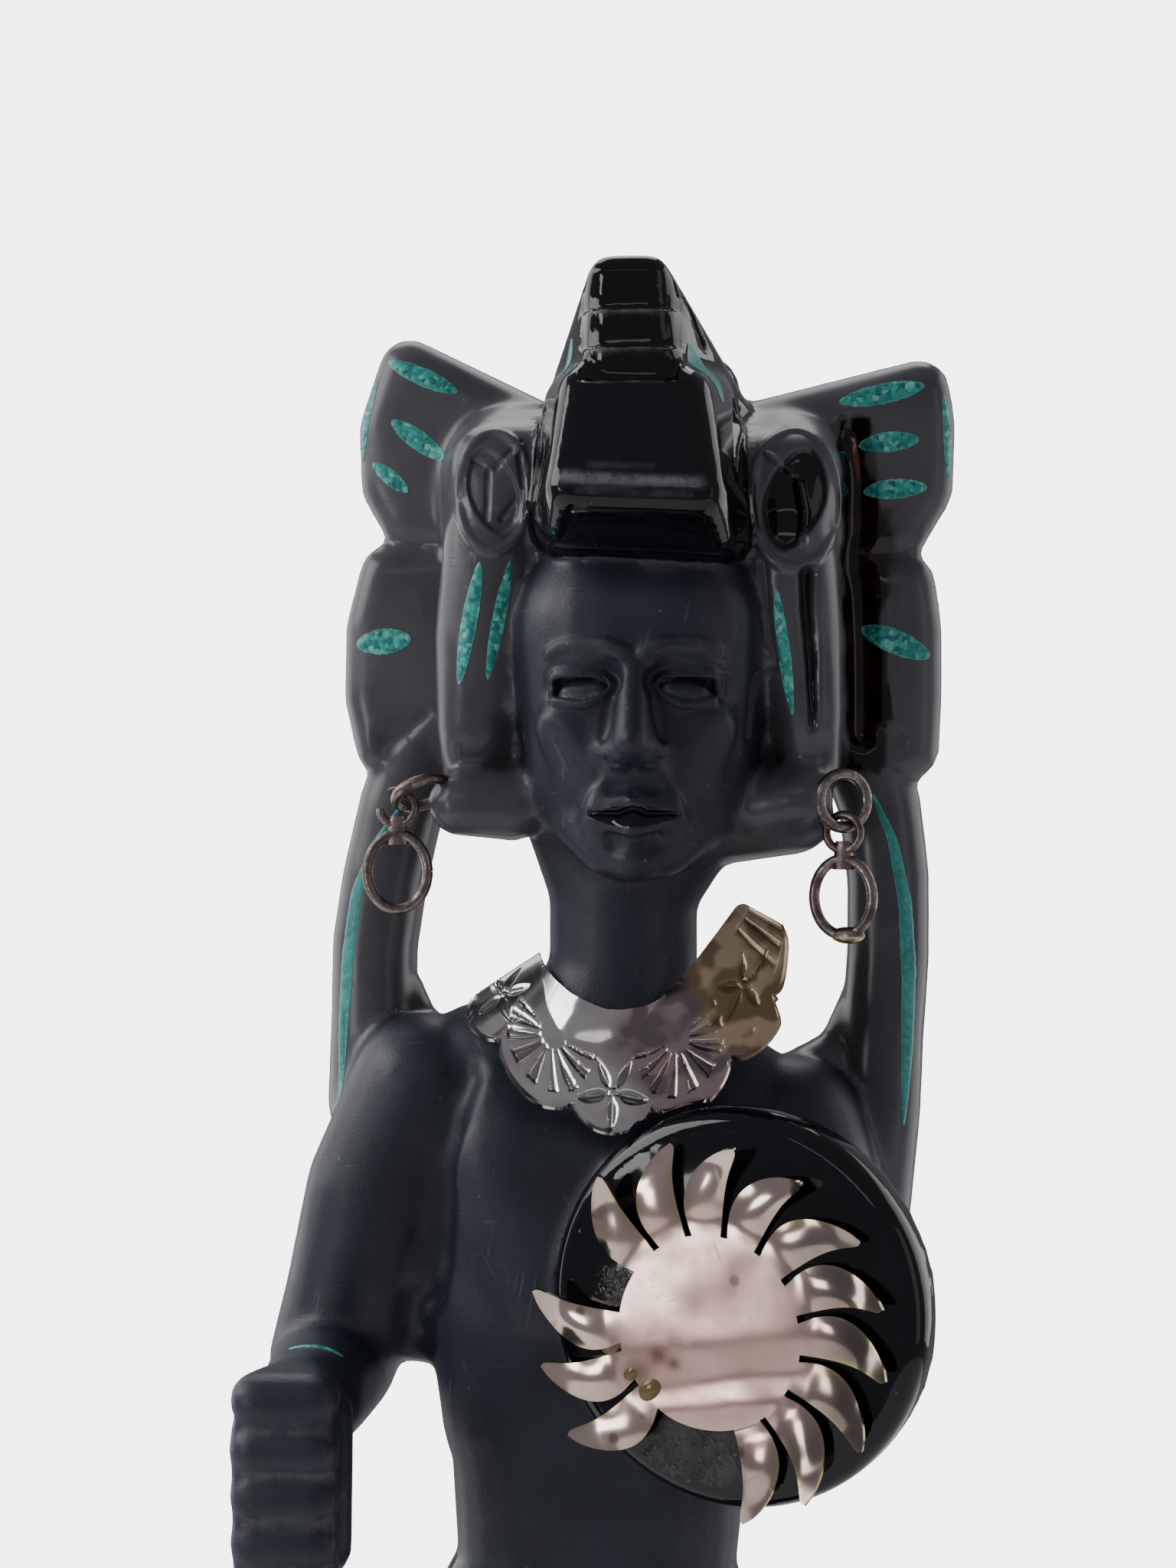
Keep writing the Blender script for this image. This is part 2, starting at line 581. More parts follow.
def engrave(mesh, strokes, worn, shine):
    unit = drawing["unit"]
    points, normals = readArray(mesh, "co"), readArray(mesh, "normal")
    push = np.zeros(len(points))
    for stroke in strokes:
        path = np.array([tuple(p) for p in stroke["points"]])
        width, depth = stroke["width"] * unit, stroke["depth"] * unit
        near = ((points > path.min(0) - 2 * width) & (points < path.max(0) + 2 * width)).all(1)
        if not near.any():
            continue
        distance, share = lineDistance(points[near], path)
        narrowing = 1 + (stroke["taper"] - 1) * share
        weight = np.clip(1 - np.maximum(distance - 0.15 * width * narrowing, 0) / (width * narrowing), 0, 1)
        weight = weight * weight * (3 - 2 * weight)
        deeper = np.zeros(len(points))
        deeper[near] = weight * depth * narrowing
        push = np.where(np.abs(deeper) > np.abs(push), deeper, push)
        worn[near] = np.maximum(worn[near], weight**2 * stroke["worn"])
        shine[near] = np.maximum(shine[near], weight * stroke["shine"])
    points -= normals * push[:, None]
    mesh.vertices.foreach_set("co", points.ravel())
    mesh.update()


def stepCrest(mesh):
    # Each facet leans in towards its foot, and the next one starts on a ledge further out
    points = readArray(mesh, "co")
    unit = drawing["unit"]
    z = points[:, 2] / unit
    x = points[:, 0] / unit + drawing["middle"][0]
    push = np.zeros(len(points))
    for top, foot in zip(crest["ledges"][:-1], crest["ledges"][1:]):
        share = (top - z) / (top - foot)
        last = 1 + crest["ledge"]
        ledge = np.clip((last - share) / crest["ledge"], 0, 1)
        rising = np.sin(0.5 * math.pi * np.clip(share, 0, 1)) * ledge
        push = np.maximum(push, np.where((share > 0) & (share < last), rising, 0))
    inFront = np.clip((crest["front"] - (points[:, 1] / unit + drawing["middle"][1])) / 3, 0, 1)
    middle = np.clip((crest["half"] - np.abs(x - 0.3)) / 1.6, 0, 1) ** 0.7
    points[:, 1] += push * inFront * middle * crest["depth"] * unit
    mesh.vertices.foreach_set("co", points.ravel())
    mesh.update()


def sinkEyes(mesh):
    points = readArray(mesh, "co")
    unit = drawing["unit"]
    x = points[:, 0] / unit + drawing["middle"][0]
    y = points[:, 1] / unit + drawing["middle"][1]
    z = points[:, 2] / unit
    polished = np.zeros(len(points))
    for name in ("left", "right"):
        eye = animalEyes[name]
        dz = (z - eye["middle"][1]) / eye["almond"][1]
        dx = (x - eye["middle"][0] + eye["lean"] * (z - eye["middle"][1])) / eye["almond"][0]
        power = animalEyes["power"]
        inside = 1 - np.sqrt(np.abs(dx) ** power + np.abs(dz) ** power)
        inside = np.clip(inside / animalEyes["rim"], 0, 1) * (y < 2)
        floor = inside * inside * (3 - 2 * inside)
        points[:, 1] += floor * eye["deep"] * unit
        if name == "right":
            polished = np.maximum(polished, floor)
    mesh.vertices.foreach_set("co", points.ravel())
    mesh.update()
    return polished


sun = {
    "rays": 16,
    "broken": (6, 10, 11),
    # How far out on the shield each broken flame left its mark
    "imprints": {6: 0.3, 10: 0.62, 11: 0.62},
    "firstRay": 23.7,
    "reach": 0.0232,
    "disc": 0.0118,
    "sheet": 0.0005,
    "shift": (-0.0018, -0.0026),
    "standOff": 0.0006,
    "flameSteps": 26,
    "flameAcross": 8,
    "flameCrown": 0.00045,
    "crease": 0.00008,
    "tipLift": 0.0009,
    "twist": 0.34,
    "curl": 0.05,
    "lift": 0.0009,
    "weld": 0.00005,
    # Beads of old glue and brown stains: place across and up from the middle of the disc, and size
    "glue": ((-0.0130, -0.0024, 0.0017), (-0.0104, -0.0056, 0.0014), (-0.0079, -0.0076, 0.0017)),
    "stains": ((-0.0065, -0.0031, 0.0012), (-0.0045, -0.0040, 0.0009), (-0.0095, -0.0055, 0.0026)),
    "seed": 3,
}

figure = {
    "voxel": 0.00088,
    "triangles": 190000,
    "smoothing": 5,
    "blend": 0.0005,
    "frontRegion": ((-31, -40, 224), (32, 1, 301)),
    "faceRegion": ((-13, -40, 225), (14, -13, 255)),
    "eyeRegions": (((-27, -18, 260), (-12, -4, 282)), ((12, -18, 258), (29, -4, 281))),
    "crestRegion": ((-8, -36, 281), (8, -12, 301)),
    "shieldRegion": ((-16, -38, 142), (42, -12, 199)),
}


def insideRegion(place, region):
    low, high = at(*region[0]), at(*region[1])
    return all(low[i] <= place[i] <= high[i] for i in range(3))


def smoothVerts(bm, verts):
    bmesh.ops.smooth_vert(bm, verts=verts, factor=0.5, use_axis_x=True, use_axis_y=True, use_axis_z=True)


def refine(mesh, region, rounds):
    bm = bmesh.new()
    bm.from_mesh(mesh)
    edges = [e for e in bm.edges if all(insideRegion(v.co, region) for v in e.verts)]
    bmesh.ops.subdivide_edges(bm, edges=edges, cuts=1, use_grid_fill=True)
    chosen = [v for v in bm.verts if insideRegion(v.co, region)]
    for _ in range(rounds):
        smoothVerts(bm, chosen)
    bm.to_mesh(mesh)
    bm.free()
    mesh.update()


def formTree(makers):
    bm = bmesh.new()
    for maker in makers:
        maker(bm)
    return bm, BVHTree.FromBMesh(bm)


def treeDistance(tree, points):
    return np.array([tree.find_nearest(Vector(p))[3] for p in points])


lips = {"height": 230.3, "reach": 5.6, "half": 1.55}


def lipMask(points):
    x, unit = drawing["faceX"], drawing["unit"]
    across = points[:, 0] / unit + drawing["middle"][0] - x
    high = points[:, 2] / unit - lips["height"]
    limit = lips["half"] * np.clip(1 - (across / lips["reach"]) ** 2, 0, 1) ** 0.6
    inside = np.clip((limit - np.abs(high)) / 0.25, 0, 1)
    return inside * (points[:, 1] < at(0, -17, 0).y)


def channelMask(points):
    unit = drawing["unit"]
    x = points[:, 0] / unit + drawing["middle"][0]
    y = points[:, 1] / unit + drawing["middle"][1]
    z = points[:, 2] / unit
    waves = 0.8 * np.sin(0.32 * (z - 240)) + 0.35 * np.sin(0.9 * z + 1)
    right = 32.2 + waves - 2.6 * np.clip((z - 268) / 12, 0, 1)
    left = 25.6 + 0.03 * (280 - z) + 0.3 * np.sin(0.9 * z)
    inside = np.clip((right - x) / 0.5, 0, 1) * np.clip((x - left) / 0.5, 0, 1)
    return inside * (z > 236) * (z < 282) * (y > -9) * (y < 7)


def onShield(points):
    # Places across, up and out from the middle of the shield's front
    middle, out, right, up = shieldFrame()
    away = points - np.array(middle)
    return away @ np.array(right), away @ np.array(up), away @ np.array(out)


def layShield(mesh):
    # The front and the rim are drawn onto a low dome with a rounded edge
    points = readArray(mesh, "co")
    across, rise, height = onShield(points)
    distance = np.maximum(np.hypot(across, rise), 1e-6)
    radius, edge = shield["radius"], shield["roundedEdge"]
    flat = radius - edge
    shoulder = shield["dome"] * (1 - (flat / radius) ** 2) - edge
    dome = shield["dome"] * (1 - (distance / radius) ** 2)
    past, over = distance - flat, height - shoulder
    reach = np.maximum(np.hypot(past, over), 1e-9)
    onEdge = (past > 0) & (over > 0)
    newHeight = np.where(onEdge, shoulder + over * edge / reach, np.where(past <= 0, dome, height))
    newDistance = np.where(onEdge, flat + past * edge / reach, np.where(past <= 0, distance, radius))
    moved = np.hypot(newHeight - height, newDistance - distance)
    share = np.clip((0.0012 - moved) / 0.0004, 0, 1) * np.clip((height + 0.0046) / 0.0012, 0, 1)
    _, out, right, up = (np.array(v) for v in shieldFrame())
    spoke = (across[:, None] * right + rise[:, None] * up) / distance[:, None]
    raised, widened = share * (newHeight - height), share * (newDistance - distance)
    points += raised[:, None] * out + widened[:, None] * spoke
    mesh.vertices.foreach_set("co", points.ravel())
    mesh.update()


def imprintMask(points):
    across, rise, height = onShield(points)
    across, rise = across - sun["shift"][0], rise - sun["shift"][1]
    facing = height > -0.002
    distance = np.hypot(across, rise)
    pitch = 2 * math.pi / sun["rays"]
    share = (distance - sun["disc"]) / (sun["reach"] - sun["disc"])
    mask = np.zeros(len(points))
    for ray in sun["broken"]:
        lean = math.radians(sun["firstRay"]) + pitch * (ray + 0.1 - 0.3 * share**2)
        off = np.abs((np.arctan2(rise, across) - lean + math.pi) % (2 * math.pi) - math.pi)
        reach = sun["imprints"][ray]
        mask = np.maximum(mask, (off < 0.40 * pitch) * (share > -0.3) * (share < reach))
    return mask * facing


def buildFigure():
    groups = {
        "matt": (legForms, torsoForms, armForms, faceForms),
        "polished": (shieldForms, baseForms, loinclothForms, crestForms),
        "satin": (hoodForms, tailForms),
    }
    whole, trees = bmesh.new(), {}
    for name, makers in groups.items():
        forms, trees[name] = formTree(makers)
        mesh = meshFrom(forms, name)
        whole.from_mesh(mesh)
        bpy.data.meshes.remove(mesh)
    obj = linkNew("carved_figure_fine", meshFrom(whole, "forms"))
    fuse = obj.modifiers.new("Fuse", "REMESH")
    fuse.mode = "VOXEL"
    fuse.voxel_size = figure["voxel"]
    polish = obj.modifiers.new("Polish", "SMOOTH")
    polish.factor = 0.5
    polish.iterations = figure["smoothing"]
    bakeModifiers(obj)
    refine(obj.data, figure["frontRegion"], 3)
    refine(obj.data, figure["faceRegion"], 3)
    refine(obj.data, figure["shieldRegion"], 3)
    refine(obj.data, figure["crestRegion"], 2)
    for region in figure["eyeRegions"]:
        refine(obj.data, region, 2)
    layShield(obj.data)
    stepCrest(obj.data)
    eyeFloor = sinkEyes(obj.data)
    worn, shine = np.zeros(len(obj.data.vertices)), np.zeros(len(obj.data.vertices))
    tree = BVHTree.FromObject(obj, bpy.context.evaluated_depsgraph_get())
    engrave(obj.data, dropLines(tree, headdressLines() + bodyLines()), worn, shine)
    for strokes in (faceHollows(), faceLines()):
        tree = BVHTree.FromObject(obj, bpy.context.evaluated_depsgraph_get())
        engrave(obj.data, dropLines(tree, strokes), worn, shine)
    points = readArray(obj.data, "co")
    away = {name: treeDistance(tree, points) for name, tree in trees.items()}
    blend = figure["blend"]
    glossy = np.clip(0.5 + (away["matt"] - np.minimum(away["polished"], away["satin"])) / blend, 0, 1)
    satin = np.clip(0.5 + (away["polished"] - away["satin"]) / (3 * blend), 0, 1)
    channel = channelMask(points)
    addValues(obj.data, "glossy", np.maximum(glossy, lipMask(points)))
    dulled = satin * (1 - eyeFloor) * (1 - channel) * (1 - shine) * (1 - lipMask(points))
    addValues(obj.data, "satin", dulled)
    addValues(obj.data, "worn", worn)
    addValues(obj.data, "channel", channel)
    addValues(obj.data, "imprint", imprintMask(points))
    # The underside is cut flat
    bm = bmesh.new()
    bm.from_mesh(obj.data)
    everything = bm.verts[:] + bm.edges[:] + bm.faces[:]
    bmesh.ops.bisect_plane(bm, geom=everything, plane_co=(0, 0, 0), plane_no=(0, 0, -1), clear_outer=True)
    bmesh.ops.holes_fill(bm, edges=[e for e in bm.edges if e.is_boundary], sides=0)
    bm.to_mesh(obj.data)
    bm.free()
    # Plain stretches are thinned, so the piece stays within its triangles
    obj.data.calc_loop_triangles()
    thin = obj.modifiers.new("Thin", "DECIMATE")
    thin.ratio = min(1.0, figure["triangles"] / len(obj.data.loop_triangles))
    bakeModifiers(obj)
    obj.data.shade_smooth()
    return obj


carved = buildFigure()
carvedTree = BVHTree.FromObject(carved, bpy.context.evaluated_depsgraph_get())
print("figure carved:", len(carved.data.polygons), "faces")

# Malachite, one stone in each groove

inlays = {
    "proud": 0.00005,
    "crown": 0.00010,
    "sunk": 0.0007,
    "stations": 30,
    "across": 8,
    "blunt": {"inlay_crest_right": 0.22},   # share of the leaf outline that is cut off at its start
}


def inlayLines():
    ahead = (0, 1, 0)
    return [
        ("inlay_upper_lobe_left_1", [(-33.4, 0, 290.0), (-24, 0, 285.7)], 2.4, ahead),
        ("inlay_upper_lobe_left_2", [(-32.8, 0, 282.1), (-25.7, 0, 276.9)], 2.6, ahead),
        ("inlay_upper_lobe_left_3", [(-35.4, 0, 276.6), (-30.6, 0, 272.7)], 2.0, ahead),
        ("inlay_upper_lobe_right_1", [(25.9, 0, 283.8), (36.9, 0, 286.0)], 2.8, ahead),
        ("inlay_upper_lobe_right_2", [(28.4, 0, 278.3), (36.2, 0, 279.0)], 2.6, ahead),
        ("inlay_upper_lobe_right_3", [(29.0, 0, 272.3), (37.2, 0, 272.8)], 2.6, ahead),
        ("inlay_lower_lobe_left", [(-37.6, 0, 252.7), (-30.2, 0, 253.4)], 3.4, ahead),
        ("inlay_lower_lobe_right", [(28.8, 0, 254.6), (37.6, 0, 250.8)], 3.2, ahead),
        ("inlay_cheek_left_1", [(-19.4, 0, 262.4), (-22.3, 0, 247.0)], 2.1, ahead),
        ("inlay_cheek_left_2", [(-15.6, 0, 262.6), (-18.6, 0, 247.6)], 1.6, ahead),
        ("inlay_cheek_right", [(18.0, 0, 258.8), (20.0, 0, 243.0)], 1.6, ahead),
        ("inlay_edge_left", [(-36.0, 2.0, 287.6), (-38.2, 2.0, 277.0)], 1.6, (1, 0.6, 0)),
        ("inlay_edge_right", [(39.8, 2.0, 285.0), (41.2, 2.0, 274.0)], 1.6, (-1, 0.6, 0)),
        ("inlay_crest_left", [(-8.0, -14.5, 290.3), (-8.6, -13.5, 285.4)], 2.2, (0.93, 0.32, 0)),
        (
            "inlay_crest_right",
            [(6.6, -18.6, 287.6), (8.2, -16.6, 286.2), (9.3, -16.2, 284.0), (10.4, -16.6, 281.4)],
            4.2,
            (-0.9, 0.3, -0.2),
        ),
        (
            "inlay_tail_left",
            [
                (-31.5, 0, 231.4), (-34.8, 0, 226.6), (-37.6, 0, 220), (-38.8, 0, 211), (-39.4, 0, 202),
                (-39.8, 0, 192),
            ],
            1.7,
            ahead,
        ),
        (
            "inlay_tail_right",
            [(30.2, 0, 233), (32.8, 0, 227), (34.4, 0, 219), (34.9, 0, 210), (34.7, 0, 200), (34.2, 0, 190)],
            1.9,
            ahead,
        ),
        ("inlay_wrist", [(-42.6, -19.5, 170), (-39.0, -19.5, 170), (-35.8, -19.5, 170)], 1.6, (0, 0, -1)),
    ]


def surfaceDepth(place, way, otherwise=0.0):
    hit = carvedTree.ray_cast(place - 0.02 * way, way)[0]
    return (hit - place).dot(way) if hit else otherwise


def buildInlay(name, line, width, way, rng):
    unit, way = drawing["unit"], Vector(way).normalized()
    stations, across = inlays["stations"], inlays["across"]
    if len(line) > 3:
        stations *= 3
    middle = [Vector(p) for p in along([at(*p) for p in line], stations + 1)]
    for i in range(2):
        eased = [(a + 2 * b + c) / 4 for a, b, c in zip(middle, middle[1:], middle[2:])]
        middle = [middle[0]] + eased + [middle[-1]]
    wobble = [rng.uniform(-1, 1) for i in range(stations + 1)]
    blunt = inlays["blunt"].get(name, 0.0)
    bm = bmesh.new()
    top, bottom, rim = [], [], []
    for i, centre in enumerate(middle):
        ahead = (middle[min(i + 1, stations)] - middle[max(i - 1, 0)]).normalized()
        side = way.cross(ahead).normalized()
        leaf = math.sin(math.pi * (blunt + (1 - blunt) * i / stations)) ** 0.62
        half = width * unit / 2 * (0.12 + 0.88 * leaf) * (1 + 0.05 * wobble[i])
        level = surfaceDepth(centre, way)
        upper, lower = [], []
        for j in range(across + 1):
            offset = 2 * j / across - 1
            place = centre + offset * half * side
            depth = surfaceDepth(place, way, level)
            depth = min(max(depth, level - 1.2 * half), level + 1.2 * half)
            rise = inlays["proud"] + inlays["crown"] * (1 - offset * offset)
            upper.append(bm.verts.new(place + (depth - rise) * way))
            lower.append(bm.verts.new(place + (depth + inlays["sunk"]) * way))
            nearEnd = min(i, stations - i) < 2
            rim += [1.0 if nearEnd or j in (0, across) else 0.0] * 2
        top.append(upper)
        bottom.append(lower)
    for rows, order in ((top, 1), (bottom, -1)):
        for first, second in zip(rows[:-1], rows[1:]):
            for j in range(across):
                bm.faces.new((first[j], first[j + 1], second[j + 1], second[j])[::order])
    for j in (0, across):
        for i in range(stations):
            bm.faces.new((top[i][j], top[i + 1][j], bottom[i + 1][j], bottom[i][j]))
    for i in (0, stations):
        for j in range(across):
            bm.faces.new((top[i][j], top[i][j + 1], bottom[i][j + 1], bottom[i][j]))
    bmesh.ops.recalc_face_normals(bm, faces=bm.faces)
    if bm.calc_volume(signed=True) < 0:
        bmesh.ops.reverse_faces(bm, faces=bm.faces)
    obj = linkNew(name + "_stone", meshFrom(bm, name))
    addValues(obj.data, "rim", rim)
    addValues(obj.data, "plain", [1.0 if "tail" in name or "crest" in name else 0.0] * len(rim))
    obj.data.shade_smooth()
    obj.data.set_sharp_from_angle(angle=math.radians(50))
    return obj


stoneRandom = random.Random(4)
stones = {}
for name, line, width, way in inlayLines():
    stones[name] = buildInlay(name, line, width, way, stoneRandom)
print("inlays set:", len(stones))

# The stamped collar

collar = {
    "stations": (
        (0.00, -84, 10.8, 212.0, 20.5, 205.5), (0.18, -54, 10.8, 210.0, 21.0, 200.5),
        (0.36, -22, 11.2, 206.4, 21.0, 193.0), (0.50, 0, 11.6, 205.3, 21.0, 190.8),
        (0.66, 24, 11.4, 206.6, 21.5, 192.5), (0.82, 46, 12.2, 210.2, 23.5, 198.5),
        (0.94, 62, 14.5, 215.5, 24.8, 206.0), (1.00, 70, 16.5, 219.2, 25.4, 214.8),
    ),
    "neck": (-2.2, 1.0),
    "scallops": 5,
    "scallopShare": 0.19,
    "clear": 0.0007,
    "sheet": 0.0005,
    "columns": 340,
    "rows": 84,
    "length": 52.0,
    "width": 15.5,
    "stampDepth": 0.00045,
}


def betweenStations(share):
    table = np.array(collar["stations"], float)
    last = len(table) - 1
    low = min(int(np.searchsorted(table[:, 0], share, side="right")) - 1, last - 1)
    mix = (share - table[low, 0]) / (table[low + 1, 0] - table[low, 0])
    before, start, end, after = (table[min(max(low + k, 0), last), 1:] for k in (-1, 0, 1, 2))
    bend = 2 * start - 2 * end + (end - before) / 2 + (after - start) / 2
    pull = 3 * end - 3 * start - (end - before) - (after - start) / 2
    return start + mix * (end - before) / 2 + mix**2 * pull + mix**3 * bend


def groove(distance, half):
    return math.exp(-((distance / half) ** 2))   # 1 in the middle of a cut, 0 past its half width


def flowerStamp(across, away):
    # Five long petals, each a leaf outline with a vein, round a small boss
    reach, angle = math.hypot(across, away), math.atan2(away, across)
    if reach > 5.4:
        return 0.0
    petal = 2 * math.pi / 5
    swing = (angle - math.pi / 2 + petal / 2) % petal - petal / 2
    off, ahead = abs(math.sin(swing)) * reach, math.cos(swing) * reach
    share = (ahead - 0.6) / 4.5
    if not 0 < share < 1:
        return 0.5 * groove(reach - 0.55, 0.16)
    width = 0.85 * math.sin(math.pi * share**0.8) ** 0.7
    leaf = 1.0 / (1 + math.exp((off - width) / 0.06))
    return max(leaf * (0.62 + 0.38 * groove(off, 0.18)), 0.5 * groove(reach - 0.55, 0.16))


def fanStamp(across, away, inner=1.6, outer=7.2, spread=1.62):
    # Wedge-shaped rays that spread towards the scalloped edge
    reach, angle = math.hypot(across, away), math.atan2(away, across)
    lean = angle - math.pi / 2
    if not inner < reach < outer or abs(lean) > spread:
        return 0.0
    ray = 2 * spread / 8
    off = abs((lean + ray / 2) % ray - ray / 2) * reach
    share = (reach - inner) / (outer - inner)
    width = 0.16 + 0.55 * share
    wedge = 1.0 / (1 + math.exp((off - width) / 0.07))
    fade = min(1.0, share / 0.08, (1 - share) / 0.06)
    return wedge * fade * (0.45 + 0.55 * min(1.0, off / width))


def stampAt(share, down):
    length, width = collar["length"], collar["width"]
    deep = 0.0
    for k, rootDown, size in ((0, 0.52, 1.0), (2, 0.66, 1.0), (4, 0.50, 0.72)):
        along, across = (share - (k + 0.5) / 5) * length / size, (down - rootDown) * width / size
        deep = max(deep, flowerStamp(along, across))
    for k, rootDown in ((1, 0.40), (3, 0.38)):
        deep = max(deep, fanStamp((share - (k + 0.5) / 5) * length, (down - rootDown) * width))
    # A punched dot on the last bump, and bars on the tab past it
    deep = max(deep, groove(math.hypot((share - 0.86) * length, (down - 0.80) * width), 0.35))
    if share > 0.948 and 0.14 < down < 0.72:
        deep = max(deep, 0.9 * groove(((share - 0.948) % 0.0175 - 0.00875) * length, 0.24))
    return deep


def buildCollar():
    columns, rows = collar["columns"], collar["rows"]
    bm = bmesh.new()
    stamped, glued, rosy = [], [], []
    grid = []
    for i in range(columns + 1):
        share = i / columns
        turn, innerOut, innerUp, outerOut, outerUp = betweenStations(share)
        turn = math.radians(turn)
        notch = 1 - abs(math.sin(math.pi * collar["scallops"] * share)) ** 0.6
        notch = min(notch, 0.75 + 4 * (1 - share)) if share > 0.97 else notch
        waist = 0.12 * groove(share - 0.93, 0.012) + 0.10 / (1 + math.exp((0.93 - share) / 0.006))
        corner = min(1.0, max(0.0, (share - 0.972) / 0.028)) ** 3
        reach = 1 - collar["scallopShare"] * notch - waist - 0.10 * corner
        column = []
        for j in range(rows + 1):
            down = 0.08 * corner + (reach - 0.08 * corner) * j / rows
            out = innerOut + (outerOut - innerOut) * down
            rise = innerUp + (outerUp - innerUp) * down
            neckX, neckY = collar["neck"]
            place = at(neckX + out * math.sin(turn), neckY - out * math.cos(turn), rise)
            near, normal = carvedTree.find_nearest(place)[:2]
            if (place - near).dot(normal) < collar["clear"]:
                place = near + collar["clear"] * normal
            column.append(bm.verts.new(place))
            edge = min(1.0, min(i, columns - i) / 4, j / 4, (rows - j) / 4)
            rolled = -0.35 * max(0.0, 1 - min(i, columns - i, rows - j) / 3.5)
            stamped.append(stampAt(share, down) * edge + rolled)
            ragged = 0.02 * math.sin(9 * down) + 0.012 * math.sin(23 * down + 1)
            glued.append(min(1.0, max(0.0, (share - 0.775 - ragged) / 0.03)))
            rosy.append(min(1.0, max(0.0, (share - 0.50 + 0.05 * math.sin(6 * down)) / 0.07)))
        grid.append(column)
    for first, second in zip(grid[:-1], grid[1:]):
        for j in range(rows):
            bm.faces.new((first[j], second[j], second[j + 1], first[j + 1]))
    inner = [v for v in bm.verts if not v.is_boundary]
    for i in range(12):
        smoothVerts(bm, inner)
    bmesh.ops.recalc_face_normals(bm, faces=bm.faces)
    mesh = meshFrom(bm, "silver_collar")
    lean = sum(p.normal.dot(Vector((0, -0.7, 0.7))) for p in mesh.polygons)
    if lean < 0:
        mesh.flip_normals()
    points, normals = readArray(mesh, "co"), readArray(mesh, "normal")
    points -= normals * (np.array(stamped) * collar["stampDepth"])[:, None]
    mesh.vertices.foreach_set("co", points.ravel())
    addValues(mesh, "stamped", np.clip(stamped, 0, 1))
    addValues(mesh, "glued", glued)
    addValues(mesh, "rosy", rosy)
    obj = linkNew("silver_collar_fine", mesh)
    sheet = obj.modifiers.new("Sheet", "SOLIDIFY")
    sheet.thickness = collar["sheet"]
    sheet.offset = 1.0
    bakeModifiers(obj)
    obj.data.shade_smooth()
    obj.data.set_sharp_from_angle(angle=math.radians(45))
    return obj


silverCollar = buildCollar()
print("collar stamped")


# The sun: flames repeated round a disc by a node tree, then laid on the shield
def flameMesh():
    # One curled flame along +X, crowned across, bent up from the disc and with a crease at its foot
    pitch = 2 * math.pi / sun["rays"]
    baseHalf = 0.4 * pitch * sun["disc"]
    bm = bmesh.new()
    rows = []
    for i in range(sun["flameSteps"] + 1):
        share = i / sun["flameSteps"]
        distance = sun["disc"] + (sun["reach"] - sun["disc"]) * share
        lean = pitch * (0.12 * math.sin(math.pi * share) - 0.5 * share**2)
        half = max(baseHalf * (1 + 2.1 * share) * (1 - share) ** 0.6, 0.00006) / distance
        row = []
        for j in range(sun["flameAcross"] + 1):
            offset = 2 * j / sun["flameAcross"] - 1
            turn = lean + offset * half
            crown = sun["flameCrown"] * math.sin(math.pi * min(1.0, share * 1.2)) ** 2 * (1 - offset * offset)
            crease = -sun["crease"] * math.exp(-(((share - 0.18) / 0.08) ** 2))
            lift = crown + crease + sun["tipLift"] * share**2.4
            row.append(bm.verts.new((distance * math.cos(turn), distance * math.sin(turn), lift)))
        rows.append(row)
    for first, second in zip(rows[:-1], rows[1:]):
        for j in range(sun["flameAcross"]):
            bm.faces.new((first[j], second[j], second[j + 1], first[j + 1]))
    bmesh.ops.recalc_face_normals(bm, faces=bm.faces)
    mesh = meshFrom(bm, "flame")
    if mesh.polygons[0].normal.z < 0:
        mesh.flip_normals()
    across = sun["flameAcross"] + 1
    edges = [abs(2 * (i % across) / sun["flameAcross"] - 1) for i in range(len(mesh.vertices))]
    addValues(mesh, "edge", edges)
    return mesh


def foldHeight(v):
    # The hammered disc is flat above, dips in a band below its middle, and rolls down at its lower edge
    knots = (-0.0118, -0.0098, -0.0088, -0.0062, -0.0052, -0.0016, -0.0008, 0.0118)
    heights = (-0.00080, -0.00014, 0.00004, -0.00034, -0.00036, 0.00022, 0.00026, 0.00006)
    return float(np.interp(v, knots, heights))


def discHeight(x, y):
    along = 0.98 * y - 0.17 * x
    return sum(foldHeight(along + 0.0004 * k) for k in (-2, -1, 0, 1, 2)) / 5


def discMesh():
    # A flat plate whose rim has a corner for each corner at the foot of a flame
    bm = bmesh.new()
    rings, spokes = 26, sun["rays"] * 10
    rows = []
    for i in range(1, rings + 1):
        distance = sun["disc"] * i / rings
        turns = [math.radians(sun["firstRay"]) + 2 * math.pi * j / spokes for j in range(spokes)]
        ring = [(distance * math.cos(turn), distance * math.sin(turn), 0) for turn in turns]
        rows.append([bm.verts.new(place) for place in ring])
    hub = bm.verts.new((0, 0, 0))
    for j in range(spokes):
        after = (j + 1) % spokes
        bm.faces.new((hub, rows[0][j], rows[0][after]))
        for first, second in zip(rows[:-1], rows[1:]):
            bm.faces.new((first[j], second[j], second[after], first[after]))
    return meshFrom(bm, "disc")


def nodeTree(name, inputs):
    tree = bpy.data.node_groups.new(name, "GeometryNodeTree")
    tree.interface.new_socket("Geometry", in_out="OUTPUT", socket_type="NodeSocketGeometry")
    sockets = {}
    for label, kind, value in inputs:
        socket = tree.interface.new_socket(label, in_out="INPUT", socket_type=kind)
        if value is not None:
            socket.default_value = value
        sockets[label] = socket.identifier
    start = tree.nodes.new("NodeGroupInput")
    end = tree.nodes.new("NodeGroupOutput")
    return tree, sockets, start, end


